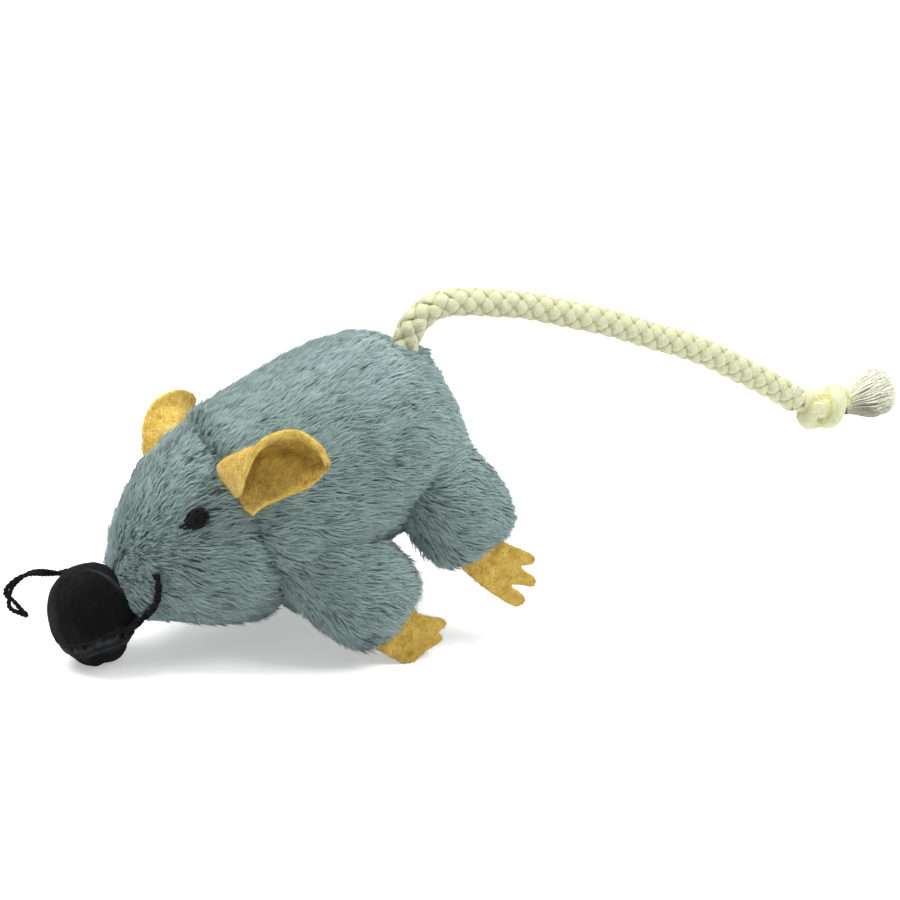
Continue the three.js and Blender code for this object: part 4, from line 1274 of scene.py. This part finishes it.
def make_tuft(rope):
    """The frayed end: fine wavy cotton fibres that leave the knot together and spread."""
    along, up, out = tilted(TUFT_TILT)
    count = TUFT_FIBRES
    spot = rng.random(count) ** 0.4 * 0.96
    round_angle = 2 * np.pi * rng.random(count)
    share = np.linspace(0, 1, TUFT_LEVELS)
    flare = TUFT_ROOT_RADIUS + (TUFT_RADIUS - TUFT_ROOT_RADIUS) * smooth_step(share * 1.05) ** 0.9
    length = TUFT_LENGTH * (1.12 - 0.3 * spot**3 - 0.3 * rng.random(count) ** 2)
    sways = [TUFT_SWAY * np.sin(share * k + 6.3 * rng.random((count, 1))) * share for k in (7, 8)]
    away = round_about(round_angle, out, up)
    paths = (knot_point(TUFT_ROOT) + (length[:, None] * share)[..., None] * along
             + (spot[:, None] * flare)[..., None] * away[:, None]
             + sways[0][..., None] * out + sways[1][..., None] * up)
    facing = unit(away + up + 0.7 * along)
    change = (1 + WIDTH_CHANGE * rng.normal(size=(count, 1))).clip(0.5, 1.5)
    widths = np.linspace(*TUFT_HALF_WIDTHS, TUFT_LEVELS) * change
    points, faces, normals, reach, size = hairs(paths, widths, facing, TUFT_OWN_SHARE)
    # The tuft's own pale cream, lifted further by painted light: its depth sits above the crowns and rises
    # towards the tips
    own_depth = TUFT_DEPTH_CHANGE * np.repeat(rng.normal(size=count), size)
    depth = np.clip(TUFT_DEPTH + TUFT_DEPTH_RISE * reach + own_depth, LEAST_TUFT_DEPTH, 1)
    uv = np.stack([reach * TUFT_LENGTH, np.repeat(rng.random(count), size)], 1)
    part = points, faces, {"depth": depth}, uv
    return make_piece("frayed_tuft", "tail_tuft", part, rope, "tail", normals)


def make_knot(rope):
    """The knot: a core, a bight laid beside it and a band over both, with painted shade where they meet."""
    routes = [
        (KNOT_CORE, KNOT_STRAND_RADIUS, (0, 1.0, 0)),
        (KNOT_BIGHT, KNOT_STRAND_RADIUS, (0.2, 1.0, 0.3)),
        (KNOT_BAND, KNOT_BAND_RADIUS, (1.0, 0.05, 0.1)),
    ]
    lines = [evenly(knot_point(route), KNOT_STEPS)[0] for route, _, _ in routes]
    parts = []
    for line, (_, radius, facing) in zip(lines, routes):
        points, faces, flute, uv = bundle(line, radius, facing)
        free = np.full(len(points), CREVICE_REACH)
        for other, (_, other_radius, _) in zip(lines, routes):
            if other is not line:
                gap = np.linalg.norm(points[:, None] - other[::3], axis=-1).min(axis=1) - other_radius
                free = np.minimum(free, np.maximum(gap, 0))
        # Painted shade: near the other strands and in the grooves between flutes the depth is lower, so the
        # cotton darkens
        depth = MIDDLE_DEPTH + (CROWN_DEPTH - MIDDLE_DEPTH) * free / CREVICE_REACH + FLUTE_DEPTH * flute
        parts.append((points, faces, {"depth": np.clip(depth, LEAST_KNOT_DEPTH, CROWN_DEPTH)}, uv))
    return make_piece("rope_knot", "tail_knot", with_fuzz(parts, KNOT_FUZZ), rope, "tail")


def make_tail():
    """The rope, the knot that its end is tied in, and the frayed tuft beyond it. The rope runs on
    into the body and, drawn thinner, into the knot."""
    rope = rope_material()
    path, length = evenly(in_middle(TAIL_ROUTE), TAIL_STEPS)
    into_knot = knot_point(KNOT_INTO)
    step = length / (len(path) - 1)
    more_steps = int(np.linalg.norm(into_knot[-1] - path[-1]) / step) + 1
    more, more_length = evenly(np.vstack([path[-1:], into_knot]), more_steps)
    inward = unit(path[0] - path[1]) * step
    hidden = path[0] + np.arange(int(ROPE_HIDDEN / step), 0, -1)[:, None] * inward
    whole = np.vstack([hidden, path, more[1:]])
    past = (np.arange(len(whole)) - len(hidden) - len(path) + KNOT_GRIP / step) * step
    radius = ROPE_RADIUS * (1 - KNOT_SQUEEZE * smooth_step(past / (KNOT_GRIP + more_length)))
    part = with_fuzz(braided(whole, radius, (0, 1.0, 0)), ROPE_FUZZ)
    tail = make_piece("braided_tail", "tail_rope", part, rope, "tail")
    knot = make_knot(rope)
    tuft = make_tuft(rope)


# Felt ears and feet
def ear_section(shares, open_share):
    """The middle line of the felt across the leaf at each share of its length: from the leaf's
    middle both halves step outwards, and the step's angle turns over by the curl table."""
    half_width = spread(EAR_WIDTHS, shares)[:, 0] * EAR_HALF_WIDTH
    curl = np.radians(spread(EAR_CURLS, shares)[:, 0]) * open_share
    lower_curl = np.radians(spread(EAR_LOWER_CURLS, shares)[:, 0])
    half_steps = EAR_WIDTH_STEPS // 2
    step = half_width / half_steps
    share = (np.arange(half_steps) + 0.5) / half_steps
    upper_angle = curl[:, None] * smooth_step(EAR_CURL_SPEED * share)
    lower_angle = lower_curl[:, None] * share
    step = step[:, None, None]
    upper = np.stack([-np.cos(upper_angle), np.sin(upper_angle)], -1) * (EAR_UPPER_SHARE * step)
    lower = np.stack([np.cos(lower_angle), np.sin(lower_angle)], -1) * step
    upper, lower = np.cumsum(upper, axis=1)[:, ::-1], np.cumsum(lower, axis=1)
    return np.concatenate([upper, np.zeros((len(shares), 1, 2)), lower], axis=1)


def ear_seat(word):
    """Where an ear is caught in the neck seam, the way straight out there and the way along it."""
    side = SIDES[word]
    wide, top, bottom = (item[0] for item in trunk_outline(BODY, 0, np.array([0.0])))
    mid, high = (top + bottom) / 2, (top - bottom) / 2
    angle = side * math.radians(EAR_POSES[word]["seat"])
    seat = np.array([BODY["start"], wide * math.sin(angle), mid + high * math.cos(angle)])
    upright = unit(np.array([0, seat[1] / wide**2, (seat[2] - mid) / high**2]))
    across = np.array([0, side * upright[2], -side * upright[1]])
    seat[0] += EAR_SEAT_BACK
    return seat, upright, across


def ear_middle(word):
    """The middle surface of an ear, as rows of points across it from root to tip."""
    side, pose = SIDES[word], EAR_POSES[word]
    seat, upright, across = ear_seat(word)
    step = (EAR_LENGTH + EAR_ROOT_DEPTH) / EAR_STEPS
    shares = np.maximum(np.arange(EAR_STEPS + 1) * step - EAR_ROOT_DEPTH, 0) / EAR_LENGTH
    fold = np.radians(pose["fold"] + pose["bend"] * (shares - 0.5))
    droop = np.radians(pose["droop"] + pose["sag"] * (shares - 0.5))
    along = round_about(droop, round_about(fold, upright, np.array([1.0, 0, 0])), across)
    spine = seat - EAR_ROOT_DEPTH * along[0] + np.vstack([np.zeros(3), np.cumsum(along[:-1] * step, axis=0)])
    square = square_to(across, along)
    twist = np.radians(side * pose["twist"] * smooth_step(shares / EAR_TWIST_REACH_SHARE))
    wide_way = round_about(twist, square, np.cross(along, square))
    deep_way = unit(np.cross(along, wide_way) * side)
    section = ear_section(shares, pose["open"])
    return spine[:, None] + section[..., :1] * wide_way[:, None] + section[..., 1:] * deep_way[:, None]


def leaf_shares(middle):
    """Shares from root to tip and from -1 to 1 across a leaf."""
    return np.linspace(0, 1, middle.shape[0])[:, None], np.linspace(-1, 1, middle.shape[1])[None, :]


def rounded_tip(middle):
    """The leaf with its end rounded: the last rows bow outwards in the middle and draw back at
    both edges."""
    row, column = leaf_shares(middle)
    bow = EAR_TIP_BOW * (EAR_TIP_MIDDLE - np.abs(column) ** 3) * rising(row, EAR_TIP_START, 1 - EAR_TIP_START)
    return middle + bow[..., None] * unit(np.gradient(middle, axis=0))


def tuck_share(points, word):
    """How far each point lies past the place in front or below that the pose gives, 1 where it is
    fully tucked into the seam."""
    front, low = EAR_POSES[word]["tuck"]
    return np.maximum(front - points[..., 0], low - points[..., 2]) / EAR_TUCK_FADE


def ear_shade(middle, side):
    """How bright the felt of an ear is painted: painted shade in the cup above the leaf's middle line,
    painted highlight along that line and at the edges, and painted shade over the far ear's inner face."""
    row, column = leaf_shares(middle)
    # Painted shade in the cup, painted highlight on the ridge and near the edges
    painted_cup_shade = rising(-column, 0.03, 0.1) * rising(column, -0.86, 0.2)
    painted_cup_shade = painted_cup_shade * rising(row, 0.3, 0.2) * rising(-row, -0.97, 0.12)
    painted_ridge_highlight = hill(column, 0.04, 0.07) * rising(row, 0.35, 0.2)
    inside = np.clip(0.5 - 0.5 * painted_cup_shade + 0.3 * painted_ridge_highlight, 0, 1) + 0.3 * np.clip(np.abs(column) - 0.8, 0, 0.2) / 0.2
    outside = np.full(middle.shape[:2], FELT_SHADE)
    edge = np.full((middle.shape[0], EDGE_STEPS), EDGE_PAINTED_HIGHLIGHT)
    # Painted shade over the far ear's inner face, painted highlight on the edges
    if side < 0:
        faces = [inside, edge, outside, edge]
    else:
        faces = [outside, edge, inside[:, ::-1] - FAR_EAR_PAINTED_SHADE, edge]
    return np.append(np.concatenate(faces, axis=1).ravel(), [EDGE_PAINTED_HIGHLIGHT, EDGE_PAINTED_HIGHLIGHT])


def felt_sheet(middle, thickness):
    """A sheet of felt about a middle surface, closed into rings with rounded long edges."""
    length_way, width_way = np.gradient(middle, axis=0), np.gradient(middle, axis=1)
    normal = unit(np.cross(length_way, width_way))
    edge_way = unit(width_way)
    half = thickness / 2
    swell = half * (1 + waves(middle, [FELT_SWELL_WAVE]))[..., None]
    turn = np.linspace(-0.5, 0.5, EDGE_STEPS + 2)[1:-1] * np.pi
    def edge(column, sign):
        arcs = round_about(turn, sign * edge_way[:, column, None], normal[:, column, None])
        return middle[:, column, None] + half * arcs
    front = (middle + normal * swell)[:, ::-1]
    return np.concatenate([middle - normal * swell, edge(-1, 1), front, edge(0, -1)[:, ::-1]], axis=1)


def make_felt(name, points, faces, shade, felt, count, hidden=None):
    """A felt piece and its fuzz in one mesh, which rides on the body of its own name; hidden
    points carry no fuzz."""
    shown = faces if hidden is None else faces[~hidden[faces].any(axis=1)]
    loose = fuzz(points, shown, count, (FUZZ_LENGTH, FUZZ_HALF_WIDTH), shade=FUZZ_SHADE)
    part = join_parts([(points, faces, {"shade": shade}, None), loose])
    make_piece(f"felt_{name}", name, part, felt, name)


def make_ears(felt):
    """Both ears, bent out of one felt leaf; the left one's lowest edge is sunk into the seam."""
    for word, side in SIDES.items():
        middle = rounded_tip(rumpled(ear_middle(word), *EAR_WAVE))
        tucks = "tuck" in EAR_POSES[word]
        if tucks:
            depth = EAR_TUCK_DEPTH * smooth_step(tuck_share(middle, word))
            middle = middle - depth[..., None] * ear_seat(word)[1]
        points, faces = closed_tube(felt_sheet(middle, FELT_THICKNESS))
        hidden = tuck_share(points, word) > 0 if tucks else None
        make_felt(f"ear_{word}", points, faces, ear_shade(middle, side), felt, EAR_FUZZ, hidden)


def outline(rows):
    """The foot's edge: straight at the hidden root, one smooth curve round the toes."""
    points, _ = evenly(in_middle(rows[1:-1]), FOOT_STEPS)
    return np.vstack([rows[0], points[:, ::2], rows[-1]])


def remeshed(polygon, thickness, voxel):
    """A flat plate of that outline made into an even mesh with softened edges, in millimetres."""
    count = len(polygon)
    mesh = bpy.data.meshes.new("plate")
    corners = [(x, y, sign * thickness / 2) for sign in (1, -1) for x, y in polygon]
    sides = [(i, (i + 1) % count, (i + 1) % count + count, i + count) for i in range(count)]
    mesh.from_pydata(corners, [], [tuple(range(count)), tuple(range(2 * count - 1, count - 1, -1)), *sides])
    plate = placed("plate", mesh)
    remesh = plate.modifiers.new("even", "REMESH")
    remesh.mode = "VOXEL"
    remesh.voxel_size = voxel
    smooth = plate.modifiers.new("soft", "SMOOTH")
    smooth.factor = FELT_SOFTEN
    smooth.iterations = FELT_SOFTEN_STEPS
    even = bpy.data.meshes.new_from_object(plate.evaluated_get(bpy.context.evaluated_depsgraph_get()))
    even.calc_loop_triangles()
    points = np.empty(len(even.vertices) * 3)
    even.vertices.foreach_get("co", points)
    faces = np.empty(len(even.loop_triangles) * 3, np.int32)
    even.loop_triangles.foreach_get("vertices", faces)
    bpy.data.objects.remove(plate)
    bpy.data.meshes.remove(mesh)
    bpy.data.meshes.remove(even)
    points, faces = points.reshape(-1, 3), faces.reshape(-1, 3)
    return points, facing_out(points, faces)


def make_feet(felt):
    """Four feet cut from felt, two small toes in front and three long ones behind, caught in the
    ends of the legs. Fuzz grows from where the felt lies once it is pressed flat on the floor."""
    back = np.array([1.0, 0, 0])
    for word, leg in LEGS.items():
        rows = np.array(FOOT_SHARES[word]) * [FOOT_WIDTH, FOOT_LENGTHS[word]]
        flat, faces = remeshed(outline(rows), FELT_THICKNESS, FELT_VOXEL)
        for side_word, side in SIDES.items():
            down = np.array([0, side * math.sin(FOOT_SPLAY), -math.cos(FOOT_SPLAY)])
            ways = np.stack([back, down, np.cross(back, down)])
            end = np.array(leg["end"]) * [1, side, 1] - FOOT_FORWARDS[word] * back
            row = to_row(rumpled(end + flat @ ways, *FOOT_WAVE))
            row[:, 2] = np.maximum(row[:, 2], 0)
            points = pitched(row / MILLIMETRE - ROW_SHIFT, -1)
            shade = np.full(len(points), FELT_SHADE)
            make_felt(f"{word}_foot_{side_word}", points, faces, shade, felt, FOOT_FUZZ)


bpy.context.scene.view_settings.view_transform = "Standard"
make_camera()
black_yarn = yarn_material()
make_tail()
make_yarn_end(black_yarn)
make_world()
make_floor()
for light_values in LIGHTS:
    make_light(*light_values)
make_forms()
make_nose()
for eye_word in SIDES:
    make_eye(eye_word, black_yarn)
make_mouth(black_yarn)
mustard_felt = felt_material()
make_ears(mustard_felt)
make_feet(mustard_felt)
